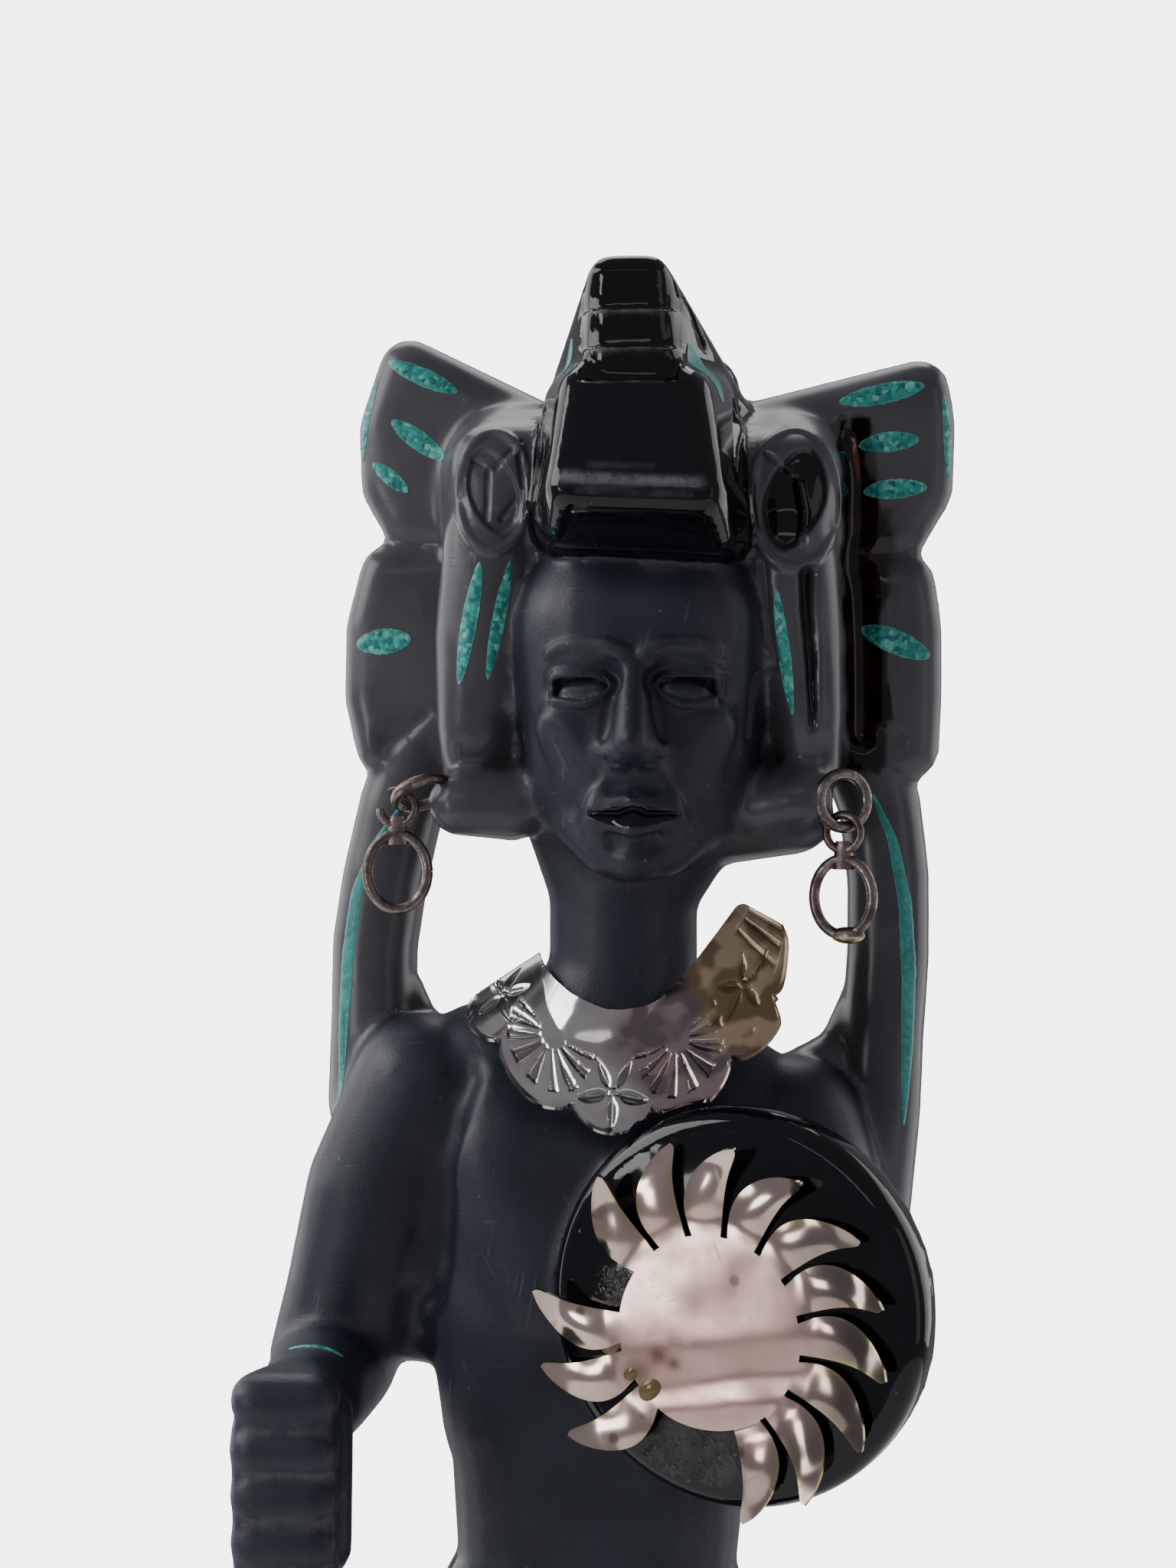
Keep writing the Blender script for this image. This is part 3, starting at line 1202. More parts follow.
def runTree(name, tree, sockets, values):
    holder = linkNew(name, bpy.data.meshes.new(name))
    modifier = holder.modifiers.new(name, "NODES")
    modifier.node_group = tree
    for label, value in values.items():
        modifier[sockets[label]] = value
    return bakeModifiers(holder)


def sunTree(flame, disc, finish):
    inputs = [
        ("Rays", "NodeSocketInt", sun["rays"]),
        ("First Ray", "NodeSocketFloat", 0.0),
        ("Weld", "NodeSocketFloat", sun["weld"]),
    ]
    tree, sockets, start, end = nodeTree("Sun of flames", inputs)
    rays = start.outputs["Rays"]
    spots = addNode(tree, "GeometryNodeMeshLine", {"Offset": (0, 0, 0), "Count": rays}, mode="OFFSET")
    index = addNode(tree, "GeometryNodeInputIndex").outputs[0]
    pitch = mathNode(tree, "DIVIDE", 2 * math.pi, rays)
    turn = mathNode(tree, "MULTIPLY_ADD", index, pitch, start.outputs["First Ray"])
    euler = addNode(tree, "ShaderNodeCombineXYZ", {"Z": turn})
    given = {"Name": "ray", "Geometry": spots.outputs["Mesh"], "Value": index}
    numbered = addNode(tree, "GeometryNodeStoreNamedAttribute", given)
    kept = None
    for ray in sun["broken"]:
        asked = {"data_type": "INT", "operation": "NOT_EQUAL"}
        differs = addNode(tree, "FunctionNodeCompare", {2: index, 3: ray}, **asked)
        if kept is None:
            kept = differs.outputs[0]
            continue
        pair = addNode(tree, "FunctionNodeBooleanMath", {0: kept, 1: differs.outputs[0]}, operation="AND")
        kept = pair.outputs[0]
    flames, plate = (addNode(tree, "GeometryNodeObjectInfo", {"Object": shape}) for shape in (flame, disc))
    given = {"Points": numbered.outputs[0], "Selection": kept, "Rotation": euler.outputs[0]}
    given["Instance"] = flames.outputs["Geometry"]
    place = addNode(tree, "GeometryNodeInstanceOnPoints", given)
    join = addNode(tree, "GeometryNodeJoinGeometry", {0: place.outputs[0]})
    tree.links.new(plate.outputs["Geometry"], join.inputs[0])
    real = addNode(tree, "GeometryNodeRealizeInstances", {0: join.outputs[0]})
    given = {"Geometry": real.outputs[0], "Distance": start.outputs["Weld"]}
    weld = addNode(tree, "GeometryNodeMergeByDistance", given)
    paint = addNode(tree, "GeometryNodeSetMaterial", {"Geometry": weld.outputs[0], "Material": finish})
    tree.links.new(paint.outputs[0], end.inputs[0])
    return tree, sockets


def addGlue(obj):
    # Beads of old glue on the sheet's lower left edge
    middle, out, right, up = shieldFrame()
    bm = bmesh.new()
    bm.from_mesh(obj.data)
    before = len(bm.verts)
    turn = Matrix((right, up, out)).transposed().to_4x4()
    for x, y, size in sun["glue"]:
        across, rise = x + sun["shift"][0], y + sun["shift"][1]
        lift = shieldDome(math.hypot(across, rise)) + sun["standOff"] + 0.9 * sun["sheet"]
        place = Matrix.Translation(middle + across * right + rise * up + lift * out) @ turn
        bead = place @ Matrix.Rotation(0.7, 4, "Z") @ Matrix.Diagonal((size, 0.72 * size, 0.30 * size, 1))
        bmesh.ops.create_uvsphere(bm, u_segments=24, v_segments=14, radius=1.0, matrix=bead)
    count = len(bm.verts)
    bm.to_mesh(obj.data)
    bm.free()
    addValues(obj.data, "glue", [0.0] * before + [1.0] * (count - before))


def buildSun(finish):
    flame, disc = linkNew("flamePattern", flameMesh()), linkNew("discPattern", discMesh())
    tree, sockets = sunTree(flame, disc, finish)
    values = {"Rays": sun["rays"], "First Ray": math.radians(sun["firstRay"]), "Weld": sun["weld"]}
    obj = runTree("shield_sun_fine", tree, sockets, values)
    for pattern in (flame, disc):
        bpy.data.objects.remove(pattern)
    middle, out, right, up = shieldFrame()
    flat = readArray(obj.data, "co")
    distance = np.hypot(flat[:, 0], flat[:, 1])
    addValues(obj.data, "disc", np.clip((sun["disc"] * 1.60 - distance) / (0.75 * sun["disc"]), 0, 1))
    rng = random.Random(sun["seed"])
    bends = [(rng.uniform(-1, 1), rng.uniform(-0.4, 1), rng.uniform(-1, 1)) for _ in range(sun["rays"])]
    rays = [value.value for value in obj.data.attributes["ray"].data]
    tones = []
    for v, ray in zip(obj.data.vertices, rays):
        off = math.hypot(v.co.x, v.co.y)
        past = (off - sun["disc"]) / (sun["reach"] - sun["disc"])
        lean = math.radians(sun["firstRay"]) + 2 * math.pi * int(ray) / sun["rays"]
        tones.append(max(0.0, math.cos(lean + 0.1)) * min(1.0, max(0.0, 1.8 * past)))
        edge = min(1.0, sun["disc"] / max(off, 1e-6))
        v.co.z += discHeight(edge * v.co.x, edge * v.co.y) * min(1.0, 1 - 1.5 * max(0.0, past))
        if past > 0.001:
            twist, lift, curl = bends[int(ray)]
            swing = (math.atan2(v.co.y, v.co.x) - lean + math.pi) % (2 * math.pi) - math.pi
            v.co.z += sun["twist"] * twist * swing * off * past**1.9 + sun["lift"] * lift * past**2
            v.co = Matrix.Rotation(sun["curl"] * curl * past, 3, "Z") @ v.co
    addValues(obj.data, "tone", tones)
    places = readArray(obj.data, "co")
    stained = np.zeros(len(places))
    for across, rise, size in sun["stains"]:
        stained += np.exp(-((np.hypot(places[:, 0] - across, places[:, 1] - rise) / size) ** 2))
    addValues(obj.data, "stained", np.clip(stained, 0, 1))
    for v in obj.data.vertices:
        across, rise = v.co.x + sun["shift"][0], v.co.y + sun["shift"][1]
        off = math.hypot(across, rise)
        height = shield["dome"] * (1 - 0.5 * (off / shield["radius"]) ** 2) + sun["standOff"] + v.co.z
        v.co = middle + across * right + rise * up + height * out
    sheet = obj.modifiers.new("Sheet", "SOLIDIFY")
    sheet.thickness = sun["sheet"]
    sheet.offset = 1.0
    bakeModifiers(obj)
    addGlue(obj)
    obj.data.shade_smooth()
    obj.data.set_sharp_from_angle(angle=math.radians(45))
    return obj


# Ear wires

earrings = {
    "jumpWire": 0.00075,
    "jumpRadius": 0.0034,
    "eyeletWire": 0.00055,
    "eyeletRadius": 0.00225,
    "hoopWire": 0.0007,
    "hoopHalfWidth": 0.0039,
    "hoopHalfHeight": 0.0048,
    "linkPlay": 0.0003,
    "solder": (0.0023, 0.0010, 0.0011),
    "leftEar": (-27.4, -9.0, 233.2),
    "rightEar": (26.4, -9.0, 232.2),
}


def wireTree(finish):
    inputs = [
        ("Half Width", "NodeSocketFloat", 0.004),
        ("Half Height", "NodeSocketFloat", 0.004),
        ("Wire", "NodeSocketFloat", 0.0007),
        ("Sweep", "NodeSocketFloat", 2 * math.pi),
        ("Start", "NodeSocketFloat", 0.0),
    ]
    tree, sockets, start, end = nodeTree("Wire ring", inputs)
    size = start.outputs
    given = {"Resolution": 72, "Radius": 1.0, "Sweep Angle": size["Sweep"], "Start Angle": size["Start"]}
    path = addNode(tree, "GeometryNodeCurveArc", given)
    given = {"X": size["Half Width"], "Y": size["Half Height"], "Z": 1.0}
    scale = addNode(tree, "ShaderNodeCombineXYZ", given)
    given = {"Geometry": path.outputs[0], "Scale": scale.outputs[0]}
    shape = addNode(tree, "GeometryNodeTransform", given)
    section = addNode(tree, "GeometryNodeCurvePrimitiveCircle", {"Resolution": 14, "Radius": size["Wire"]})
    given = {"Fill Caps": True, "Curve": shape.outputs[0], "Profile Curve": section.outputs[0]}
    tube = addNode(tree, "GeometryNodeCurveToMesh", given)
    real = addNode(tree, "GeometryNodeRealizeInstances", {0: tube.outputs[0]})
    paint = addNode(tree, "GeometryNodeSetMaterial", {"Geometry": real.outputs[0], "Material": finish})
    tree.links.new(paint.outputs[0], end.inputs[0])
    return tree, sockets


def hangingPoint(centre, side, up):
    if abs(up.z) > 0.9:
        return centre - earrings["jumpRadius"] * up
    return centre - earrings["jumpRadius"] * side


def laidOut(mesh, centre, side, up):
    turn = Matrix((side, up, side.cross(up))).transposed().to_4x4()
    mesh.transform(Matrix.Translation(centre) @ turn)


def joined(name, objects):
    bm = bmesh.new()
    for obj in objects:
        bm.from_mesh(obj.data)
    for obj in objects:
        bpy.data.objects.remove(obj)
    return linkNew(name, meshFrom(bm, name))


def buildEarring(which, side, up, yaw, opening, tree, sockets):
    centre, side, up = at(*earrings[which + "Ear"]), Vector(side).normalized(), Vector(up).normalized()
    radius = earrings["jumpRadius"]
    values = {"Half Width": radius, "Half Height": radius, "Wire": earrings["jumpWire"]}
    values["Sweep"] = 2 * math.pi
    jump = runTree("jump_ring_" + which + "_fine", tree, sockets, values)
    laidOut(jump.data, centre, side, up)
    turn = math.radians(yaw)
    across, upright = Vector((math.cos(turn), math.sin(turn), 0)), Vector((0, 0, 1))
    wireSize, radius = earrings["eyeletWire"], earrings["eyeletRadius"]
    rise = earrings["jumpWire"] + wireSize + earrings["linkPlay"] - radius
    eyelet = hangingPoint(centre, side, up) + rise * upright
    drop = radius + earrings["hoopHalfHeight"] + 0.9 * earrings["hoopWire"] + 0.9 * wireSize
    hoop = eyelet - drop * upright
    values = {"Half Width": radius, "Half Height": radius, "Wire": wireSize}
    values["Sweep"] = 2 * math.pi - math.radians(opening)
    values["Start"] = math.radians(150 + opening / 2)
    small = runTree("eyelet_" + which, tree, sockets, values)
    laidOut(small.data, eyelet, across, upright)
    values = {"Half Width": earrings["hoopHalfWidth"], "Half Height": earrings["hoopHalfHeight"]}
    values.update({"Wire": earrings["hoopWire"], "Sweep": 2 * math.pi, "Start": 0.0})
    large = runTree("hoop_" + which, tree, sockets, values)
    laidOut(large.data, hoop, across, upright)
    bm = bmesh.new()
    length = 2.9 * (earrings["hoopWire"] + wireSize)
    wide, narrow = 2.1 * earrings["hoopWire"], 1.9 * wireSize
    bmesh.ops.create_cone(bm, cap_ends=True, segments=20, radius1=wide, radius2=narrow, depth=length)
    for v in bm.verts:
        v.co = v.co.x * across + 0.55 * v.co.y * across.cross(upright) + v.co.z * upright
    neckDrop = radius + 0.5 * (earrings["hoopWire"] + wireSize)
    bmesh.ops.translate(bm, verts=bm.verts, vec=eyelet - neckDrop * upright)
    foot = hoop - earrings["hoopHalfHeight"] * upright + 0.0006 * across
    if which == "right":
        turned = Matrix((across, upright.cross(across), upright)).transposed().to_4x4()
        solder = Matrix.Translation(foot) @ turned @ Matrix.Diagonal((*earrings["solder"], 1))
        bmesh.ops.create_uvsphere(bm, u_segments=20, v_segments=12, radius=1.0, matrix=solder)
    neck = linkNew("neck_" + which, meshFrom(bm, "neck"))
    pendant = joined("ear_pendant_" + which + "_fine", [small, large, neck])
    dripped = [(v.co - foot).length < 0.0024 and v.co.z < foot.z - 0.0002 for v in pendant.data.vertices]
    addValues(pendant.data, "solder", [drip and which == "right" for drip in dripped])
    for piece in (jump, pendant):
        piece.data.shade_smooth()
        piece.data.set_sharp_from_angle(angle=math.radians(60))
    return jump, pendant


# Shared effects of the finishes


def shaderGroup(name, inputs, outputs):
    tree = bpy.data.node_groups.new(name, "ShaderNodeTree")
    for label, value in inputs.items():
        socket = tree.interface.new_socket(label, in_out="INPUT", socket_type="NodeSocketFloat")
        socket.default_value = value
    for label in outputs:
        tree.interface.new_socket(label, in_out="OUTPUT", socket_type="NodeSocketFloat")
    return tree, tree.nodes.new("NodeGroupInput"), tree.nodes.new("NodeGroupOutput")


def mathNode(tree, operation, first, second=None, third=None, clamp=False):
    given = {i: value for i, value in enumerate((first, second, third)) if value is not None}
    return addNode(tree, "ShaderNodeMath", given, operation=operation, use_clamp=clamp).outputs[0]


def mapRange(tree, value, low, high, toLow=0.0, toHigh=1.0, smooth=False):
    given = {"Value": value, "From Min": low, "From Max": high, "To Min": toLow, "To Max": toHigh}
    kind = "SMOOTHSTEP" if smooth else "LINEAR"
    return addNode(tree, "ShaderNodeMapRange", given, interpolation_type=kind, clamp=True).outputs["Result"]


def noiseValue(tree, vector, scale, detail=3.0, roughness=0.55):
    given = {"Vector": vector, "Scale": scale, "Detail": detail, "Roughness": roughness}
    return addNode(tree, "ShaderNodeTexNoise", given).outputs["Fac"]


def objectPlace(tree):
    return tree.nodes.new("ShaderNodeTexCoord").outputs["Object"]


def scratchGroup():
    inputs = {"Scale": 900.0, "Stretch": 14.0, "Turn": 0.6, "Share": 0.3}
    tree, start, end = shaderGroup("Fine scratches", inputs, ["Mask"])
    place = objectPlace(tree)
    together = None
    for k, (tilt, extra) in enumerate(((0.0, 0.0), (1.1, 0.35), (-0.7, -0.2))):
        turn = mathNode(tree, "ADD", start.outputs["Turn"], tilt)
        angle = addNode(tree, "ShaderNodeCombineXYZ", {"X": 0.3 * extra, "Y": turn})
        given = {"Vector": place, "Rotation": angle.outputs[0]}
        spin = addNode(tree, "ShaderNodeVectorRotate", given, rotation_type="EULER_XYZ")
        shrink = mathNode(tree, "DIVIDE", 1.0, start.outputs["Stretch"])
        stretch = addNode(tree, "ShaderNodeCombineXYZ", {"X": 1.0, "Y": 0.35, "Z": shrink})
        given = {0: spin.outputs[0], 1: stretch.outputs[0]}
        pulled = addNode(tree, "ShaderNodeVectorMath", given, operation="MULTIPLY")
        value = noiseValue(tree, pulled.outputs[0], start.outputs["Scale"], 1.0)
        lines = mapRange(tree, value, 0.70 - 0.01 * k, 0.76, smooth=True)
        together = lines if together is None else mathNode(tree, "MAXIMUM", together, lines)
    patches = noiseValue(tree, place, 95.0, 2.0)
    limit = mathNode(tree, "SUBTRACT", 0.75, mathNode(tree, "MULTIPLY", start.outputs["Share"], 0.5))
    there = mapRange(tree, patches, limit, mathNode(tree, "ADD", limit, 0.12), smooth=True)
    tree.links.new(mathNode(tree, "MULTIPLY", together, there), end.inputs["Mask"])
    return tree


def fleckGroup():
    tree, start, end = shaderGroup("Dust flecks", {"Scale": 500.0, "Share": 0.12, "Size": 0.16}, ["Mask"])
    given = {"Vector": objectPlace(tree), "Scale": start.outputs["Scale"]}
    cells = addNode(tree, "ShaderNodeTexVoronoi", given)
    chance = addNode(tree, "ShaderNodeSeparateColor", {0: cells.outputs["Color"]})
    chosen = mathNode(tree, "LESS_THAN", chance.outputs[0], start.outputs["Share"])
    edge = mathNode(tree, "MULTIPLY", start.outputs["Size"], 0.6)
    spot = mapRange(tree, cells.outputs["Distance"], edge, start.outputs["Size"], 1.0, 0.0)
    tree.links.new(mathNode(tree, "MULTIPLY", chosen, spot), end.inputs["Mask"])
    return tree


def mottleGroup():
    inputs = {"Scale": 120.0, "Low": 0.35, "High": 0.65, "Detail": 4.0}
    tree, start, end = shaderGroup("Mottle", inputs, ["Value"])
    value = noiseValue(tree, objectPlace(tree), start.outputs["Scale"], start.outputs["Detail"], 0.6)
    spread = mapRange(tree, value, start.outputs["Low"], start.outputs["High"], smooth=True)
    tree.links.new(spread, end.inputs["Value"])
    return tree


effects = {"scratches": scratchGroup(), "flecks": fleckGroup(), "mottle": mottleGroup()}


def effect(tree, name, **values):
    return addNode(tree, "ShaderNodeGroup", values, node_tree=effects[name]).outputs[0]


def attribute(tree, name):
    return addNode(tree, "ShaderNodeAttribute", attribute_name=name).outputs["Fac"]


def mixColour(tree, share, first, second):
    first, second = ((*given, 1) if isinstance(given, tuple) else given for given in (first, second))
    return addNode(tree, "ShaderNodeMix", {0: share, 6: first, 7: second}, data_type="RGBA").outputs[2]


def mixValue(tree, share, first, second):
    return addNode(tree, "ShaderNodeMix", {0: share, 2: first, 3: second}, data_type="FLOAT").outputs[0]


def bump(tree, height, distance, normal=None):
    given = {"Distance": distance, "Height": height}
    if normal is not None:
        given["Normal"] = normal
    return addNode(tree, "ShaderNodeBump", given).outputs[0]


def newFinish(name):
    made = bpy.data.materials.new(name)
    made.use_nodes = True
    return made, made.node_tree, made.node_tree.nodes["Principled BSDF"]


def glassFinish():
    made, tree, shader = newFinish("Black volcanic glass")
    links = tree.links
    names = ("glossy", "satin", "worn", "channel", "imprint")
    glossy, satin, worn, channel, imprint = (attribute(tree, name) for name in names)
    cloud = effect(tree, "mottle", Scale=46.0, Low=0.34, High=0.66, Detail=5.0)
    fine = effect(tree, "mottle", Scale=2600.0, Low=0.3, High=0.7, Detail=2.0)
    scratches = effect(tree, "scratches", Scale=1100.0, Stretch=16.0, Turn=0.5, Share=0.50)
    flecks = effect(tree, "flecks", Scale=520.0, Share=0.16, Size=0.12)
    sanded = mixColour(tree, cloud, (0.0080, 0.0108, 0.0215), (0.0220, 0.0260, 0.0420))
    sanded = mixColour(tree, mathNode(tree, "MULTIPLY", fine, 0.30), sanded, (0.030, 0.034, 0.047))
    sanded = mixColour(tree, mathNode(tree, "MULTIPLY", scratches, 0.30), sanded, (0.12, 0.13, 0.15))
    polished = mixColour(tree, cloud, (0.0022, 0.0016, 0.0038), (0.0040, 0.0034, 0.0066))
    hazed = mixColour(tree, cloud, (0.060, 0.0575, 0.068), (0.094, 0.091, 0.102))
    polished = mixColour(tree, satin, polished, hazed)
    colour = mixColour(tree, glossy, sanded, polished)
    amber = effect(tree, "mottle", Scale=230.0, Low=0.45, High=0.62, Detail=3.0)
    brown = mixColour(tree, amber, (0.0030, 0.0018, 0.0020), (0.0200, 0.0055, 0.0030))
    embers = effect(tree, "scratches", Scale=420.0, Stretch=12.0, Turn=0.12, Share=0.45)
    brown = mixColour(tree, mathNode(tree, "MULTIPLY", embers, 0.5), brown, (0.36, 0.085, 0.022))
    colour = mixColour(tree, channel, colour, brown)
    colour = mixColour(tree, mathNode(tree, "MULTIPLY", flecks, 0.30), colour, (0.20, 0.20, 0.20))
    chalk = effect(tree, "mottle", Scale=520.0, Low=0.35, High=0.60, Detail=4.0)
    chalky = mathNode(tree, "MULTIPLY", worn, mixValue(tree, chalk, 0.35, 1.0))
    colour = mixColour(tree, mathNode(tree, "MULTIPLY", chalky, 0.7), colour, (0.20, 0.205, 0.22))
    glueMark = mathNode(tree, "MULTIPLY", imprint, mixValue(tree, chalk, 0.25, 0.75))
    colour = mixColour(tree, glueMark, colour, (0.045, 0.044, 0.042))
    links.new(colour, shader.inputs["Base Color"])
    matt = mixValue(tree, cloud, 0.50, 0.40)
    shine = mixValue(tree, cloud, 0.035, 0.075)
    shine = mixValue(tree, satin, shine, mixValue(tree, cloud, 0.24, 0.33))
    rough = mixValue(tree, glossy, matt, shine)
    rough = mathNode(tree, "ADD", rough, mathNode(tree, "MULTIPLY", scratches, 0.08), clamp=True)
    rough = mathNode(tree, "MAXIMUM", rough, mathNode(tree, "MULTIPLY", chalky, 0.6))
    rough = mathNode(tree, "MAXIMUM", rough, mathNode(tree, "MULTIPLY", glueMark, 0.45))
    links.new(rough, shader.inputs["Roughness"])
    shader.inputs["IOR"].default_value = 1.45
    grain = mathNode(tree, "MULTIPLY", fine, mathNode(tree, "SUBTRACT", 1.0, glossy))
    uneven = effect(tree, "mottle", Scale=90.0, Low=0.1, High=0.9, Detail=0.0)
    normal = bump(tree, grain, 0.000012)
    normal = bump(tree, uneven, 0.00022, normal)
    normal = bump(tree, mathNode(tree, "MULTIPLY", imprint, chalk), 0.00012, normal)
    normal = bump(tree, mathNode(tree, "SUBTRACT", 1.0, scratches), 0.00001, normal)
    links.new(normal, shader.inputs["Normal"])
    return made


def malachiteFinish():
    made, tree, shader = newFinish("Crushed malachite")
    links = tree.links
    cells = addNode(tree, "ShaderNodeTexVoronoi", {"Scale": 1500.0, "Vector": objectPlace(tree)})
    split = addNode(tree, "ShaderNodeSeparateColor", {0: cells.outputs["Color"]})
    tones = addNode(tree, "ShaderNodeValToRGB", {0: split.outputs[0]})
    ramp = tones.color_ramp
    ramp.elements[0].position, ramp.elements[0].color = 0.0, (0.010, 0.135, 0.125, 1)
    ramp.elements[1].position, ramp.elements[1].color = 1.0, (0.20, 0.66, 0.56, 1)
    for position, colour in ((0.35, (0.022, 0.30, 0.265, 1)), (0.75, (0.04, 0.44, 0.375, 1))):
        ramp.elements.new(position).color = colour
    rim = attribute(tree, "rim")
    plain = attribute(tree, "plain")
    cloud = effect(tree, "mottle", Scale=260.0, Low=0.3, High=0.7)
    even = mixColour(tree, cloud, (0.020, 0.19, 0.175), (0.045, 0.32, 0.285))
    colour = mixColour(tree, mathNode(tree, "MULTIPLY", plain, 0.75), tones.outputs[0], even)
    binder = mapRange(tree, cells.outputs["Distance"], 0.45, 0.75)
    colour = mixColour(tree, mathNode(tree, "MULTIPLY", binder, 0.35), colour, (0.012, 0.19, 0.17))
    colour = mixColour(tree, mathNode(tree, "MULTIPLY", rim, 0.55), colour, (0.17, 0.42, 0.39))
    links.new(colour, shader.inputs["Base Color"])
    links.new(mixValue(tree, cloud, 0.30, 0.48), shader.inputs["Roughness"])
    pits = mathNode(tree, "MULTIPLY", cells.outputs["Distance"], mixValue(tree, plain, 1.0, 0.3))
    links.new(bump(tree, mathNode(tree, "SUBTRACT", 1.0, pits), 0.00008), shader.inputs["Normal"])
    return made


def collarFinish():
    made, tree, shader = newFinish("Stamped silver")
    links = tree.links
    stamped, glued, rosy = (attribute(tree, name) for name in ("stamped", "glued", "rosy"))
    mottle = effect(tree, "mottle", Scale=150.0, Low=0.35, High=0.65, Detail=3.0)
    scratches = effect(tree, "scratches", Scale=1500.0, Stretch=20.0, Turn=0.2, Share=0.6)
    silver = mixColour(tree, mottle, (0.80, 0.77, 0.75), (0.60, 0.56, 0.55))
    patches = effect(tree, "mottle", Scale=210.0, Low=0.42, High=0.55, Detail=1.5)
    blush = mixColour(tree, patches, (0.22, 0.165, 0.16), (0.50, 0.36, 0.35))
    silver = mixColour(tree, mathNode(tree, "MULTIPLY", rosy, 0.9), silver, blush)
    silver = mixColour(tree, mathNode(tree, "MULTIPLY", stamped, 0.88), silver, (0.075, 0.066, 0.062))
    amber = mixColour(tree, patches, (0.17, 0.115, 0.060), (0.38, 0.29, 0.19))
    amber = mixColour(tree, mathNode(tree, "MULTIPLY", stamped, 0.7), amber, (0.030, 0.021, 0.012))
    links.new(mixColour(tree, glued, silver, amber), shader.inputs["Base Color"])
    links.new(mixValue(tree, glued, 1.0, 0.45), shader.inputs["Metallic"])
    rough = mixValue(tree, mottle, 0.10, 0.18)
    rough = mathNode(tree, "ADD", rough, mathNode(tree, "MULTIPLY", scratches, 0.12))
    rough = mathNode(tree, "ADD", rough, mathNode(tree, "MULTIPLY", stamped, 0.15))
    links.new(mixValue(tree, glued, rough, 0.24), shader.inputs["Roughness"])
    dents = effect(tree, "mottle", Scale=140.0, Low=0.1, High=0.9, Detail=0.5)
    links.new(bump(tree, dents, 0.00022), shader.inputs["Normal"])
    return made


def sunFinish():
    made, tree, shader = newFinish("Tarnished silver")
    links = tree.links
    mottle = effect(tree, "mottle", Scale=110.0, Low=0.3, High=0.7)
    spots = effect(tree, "flecks", Scale=260.0, Share=0.25, Size=0.22)
    scratches = effect(tree, "scratches", Scale=1300.0, Stretch=22.0, Turn=1.0, Share=0.5)
    names = ("disc", "edge", "tone", "stained", "glue")
    disc, edge, tone, stained, glue = (attribute(tree, name) for name in names)
    bright = mixColour(tree, mottle, (0.80, 0.64, 0.56), (0.64, 0.49, 0.425))
    rosy = mixColour(tree, mottle, (0.64, 0.43, 0.375), (0.52, 0.345, 0.30))
    colour = mixColour(tree, disc, bright, rosy)
    colour = mixColour(tree, mathNode(tree, "MULTIPLY", tone, 0.9), colour, (0.13, 0.108, 0.10))
    outside = mathNode(tree, "SUBTRACT", 1.0, disc)
    gilt = mathNode(tree, "MULTIPLY", mathNode(tree, "POWER", edge, 5.0), outside)
    gilt = mathNode(tree, "MULTIPLY", gilt, mixValue(tree, mottle, 0.15, 0.85))
    colour = mixColour(tree, gilt, colour, (0.52, 0.47, 0.19))
    stain = effect(tree, "mottle", Scale=70.0, Low=0.60, High=0.72, Detail=4.0)
    colour = mixColour(tree, mathNode(tree, "MULTIPLY", stain, 0.7), colour, (0.22, 0.155, 0.12))
    colour = mixColour(tree, mathNode(tree, "MULTIPLY", spots, 0.6), colour, (0.12, 0.09, 0.075))
    colour = mixColour(tree, mathNode(tree, "MULTIPLY", stained, 0.8), colour, (0.10, 0.065, 0.045))
    colour = mixColour(tree, glue, colour, (0.150, 0.105, 0.040))
    links.new(colour, shader.inputs["Base Color"])
    links.new(mathNode(tree, "SUBTRACT", 1.0, glue), shader.inputs["Metallic"])
    rough = mixValue(tree, disc, mixValue(tree, mottle, 0.09, 0.16), mixValue(tree, mottle, 0.20, 0.32))
    rough = mathNode(tree, "ADD", rough, mathNode(tree, "MULTIPLY", scratches, 0.12))
    links.new(rough, shader.inputs["Roughness"])
    waves = effect(tree, "mottle", Scale=120.0, Low=0.1, High=0.9, Detail=0.5)
    links.new(bump(tree, waves, 0.00025), shader.inputs["Normal"])
    return made


def wireFinish():
    made, tree, shader = newFinish("Dull silver wire")
    links = tree.links
    mottle = effect(tree, "mottle", Scale=420.0, Low=0.35, High=0.65)
    colour = mixColour(tree, mottle, (0.30, 0.245, 0.225), (0.11, 0.085, 0.075))
    colour = mixColour(tree, attribute(tree, "solder"), colour, (0.62, 0.53, 0.36))
    links.new(colour, shader.inputs["Base Color"])
    shader.inputs["Metallic"].default_value = 1.0
    links.new(mixValue(tree, mottle, 0.26, 0.42), shader.inputs["Roughness"])
    links.new(bump(tree, mottle, 0.00005), shader.inputs["Normal"])
    return made


finishes = {
    "glass": glassFinish(),
    "malachite": malachiteFinish(),
    "collar": collarFinish(),
    "sun": sunFinish(),
    "wire": wireFinish(),
}
print("finishes mixed")

shieldSun = buildSun(finishes["sun"])
ringTree, ringSockets = wireTree(finishes["wire"])
leftSide, leftUp = (0.92, 0, 0.39), (-0.16, -0.9, 0.38)
rightSide = (math.cos(math.radians(30)), math.sin(math.radians(30)), 0)
jumpLeft, pendantLeft = buildEarring("left", leftSide, leftUp, 0, 62, ringTree, ringSockets)
jumpRight, pendantRight = buildEarring("right", rightSide, (0, 0, 1), -20, 0, ringTree, ringSockets)
print("sun and earrings hung")

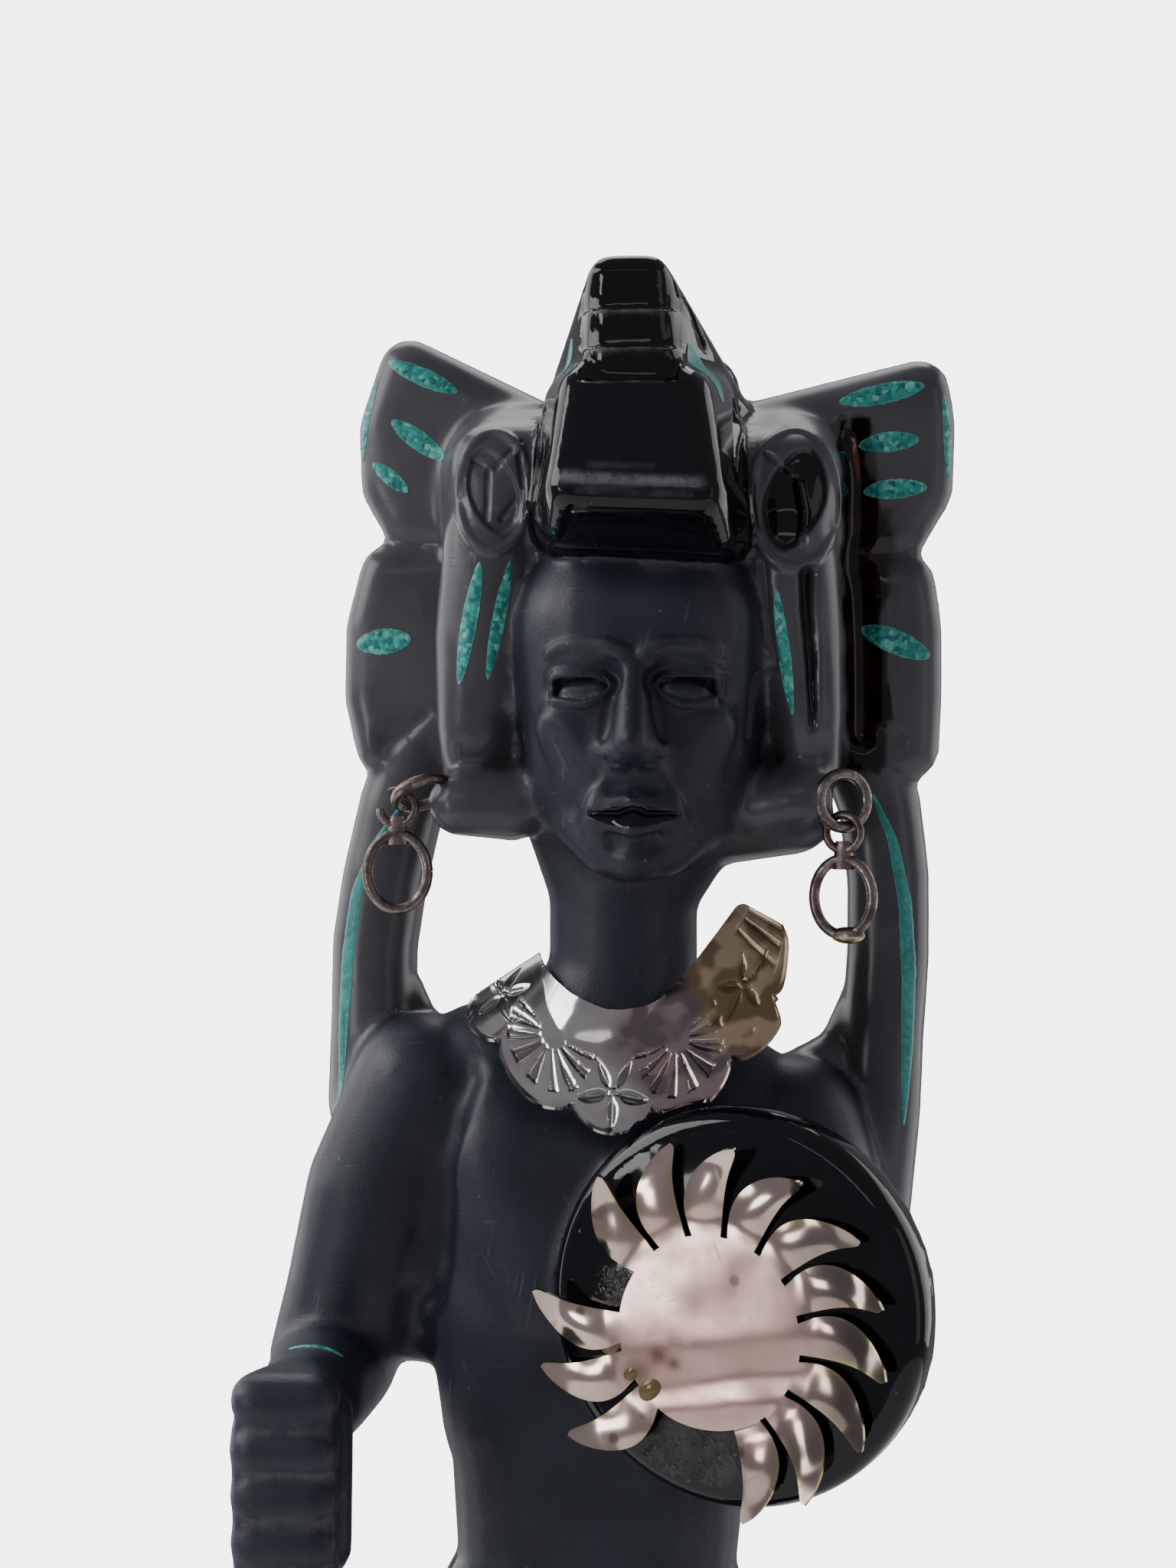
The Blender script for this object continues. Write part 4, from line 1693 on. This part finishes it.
finishPiece(carved, ["carved_figure"], finishes["glass"])
finishPiece(silverCollar, ["silver_collar"], finishes["collar"])
finishPiece(shieldSun, ["shield_sun"], finishes["sun"])
finishPiece(jumpLeft, ["jump_ring_left"], finishes["wire"])
finishPiece(jumpRight, ["jump_ring_right"], finishes["wire"])
finishPiece(pendantLeft, ["ear_pendant_left"], finishes["wire"])
finishPiece(pendantRight, ["ear_pendant_right"], finishes["wire"])
for name, stone in stones.items():
    finishPiece(stone, [name], finishes["malachite"])
print("pieces dressed")

# Studio

studio = {
    # Colour and strength of what the camera sees and of what lights the piece
    "background": ((0.92, 0.92, 0.92), 5.6),
    "room": ((0.93, 0.91, 1.0), 0.25),
    "floorRadius": 0.42,
    # Each lamp: its name, place, size and radiance
    "lamps": (
        ("leftFront", (-0.65, -0.63, 0.155), (0.20, 0.20), 6.5),
        ("leftHigh", (-0.84, -0.22, 0.66), (0.7, 0.6), 4.7),
        ("leftBack", (-0.70, 0.40, 0.35), (0.7, 0.9), 1.8),
        ("brow", (-0.15, -0.85, 0.60), (0.55, 0.07), 1.6),
        ("rightBack", (0.70, 0.40, 0.35), (0.7, 0.9), 1.5),
        ("above", (-0.10, 0.45, 1.00), (0.8, 0.6), 2.9),
        ("rightFront", (0.72, -0.45, 0.25), (0.3, 0.7), 0.6),
    ),
}


def addStudio():
    world = bpy.data.worlds.new("Studio")
    world.use_nodes = True
    bpy.context.scene.world = world
    tree = world.node_tree
    tree.nodes.clear()
    room, seen = (
        addNode(tree, "ShaderNodeBackground", {"Color": (*colour, 1), "Strength": strength}).outputs[0]
        for colour, strength in (studio["room"], studio["background"])
    )
    path = addNode(tree, "ShaderNodeLightPath")
    mix = addNode(tree, "ShaderNodeMixShader", {0: path.outputs["Is Camera Ray"], 1: room, 2: seen})
    addNode(tree, "ShaderNodeOutputWorld", {0: mix.outputs[0]})
    middle = Vector((0, 0, 0.2))
    for name, place, size, radiance in studio["lamps"]:
        data = bpy.data.lights.new(name, "AREA")
        data.shape = "RECTANGLE"
        data.size, data.size_y = size
        data.energy = radiance * math.pi * size[0] * size[1]
        lamp = bpy.data.objects.new(name, data)
        lamp.location = place
        lamp.rotation_euler = (middle - Vector(place)).to_track_quat("-Z", "Y").to_euler()
        bpy.context.scene.collection.objects.link(lamp)
    bm = bmesh.new()
    bmesh.ops.create_circle(bm, cap_ends=True, segments=96, radius=studio["floorRadius"])
    floor = linkNew("floor", meshFrom(bm, "floor"))
    paint, _, shader = newFinish("Pale floor")
    shader.inputs["Base Color"].default_value = (0.80, 0.80, 0.80, 1)
    shader.inputs["Roughness"].default_value = 0.6
    floor.data.materials.append(paint)


addStudio()
print("studio lit")
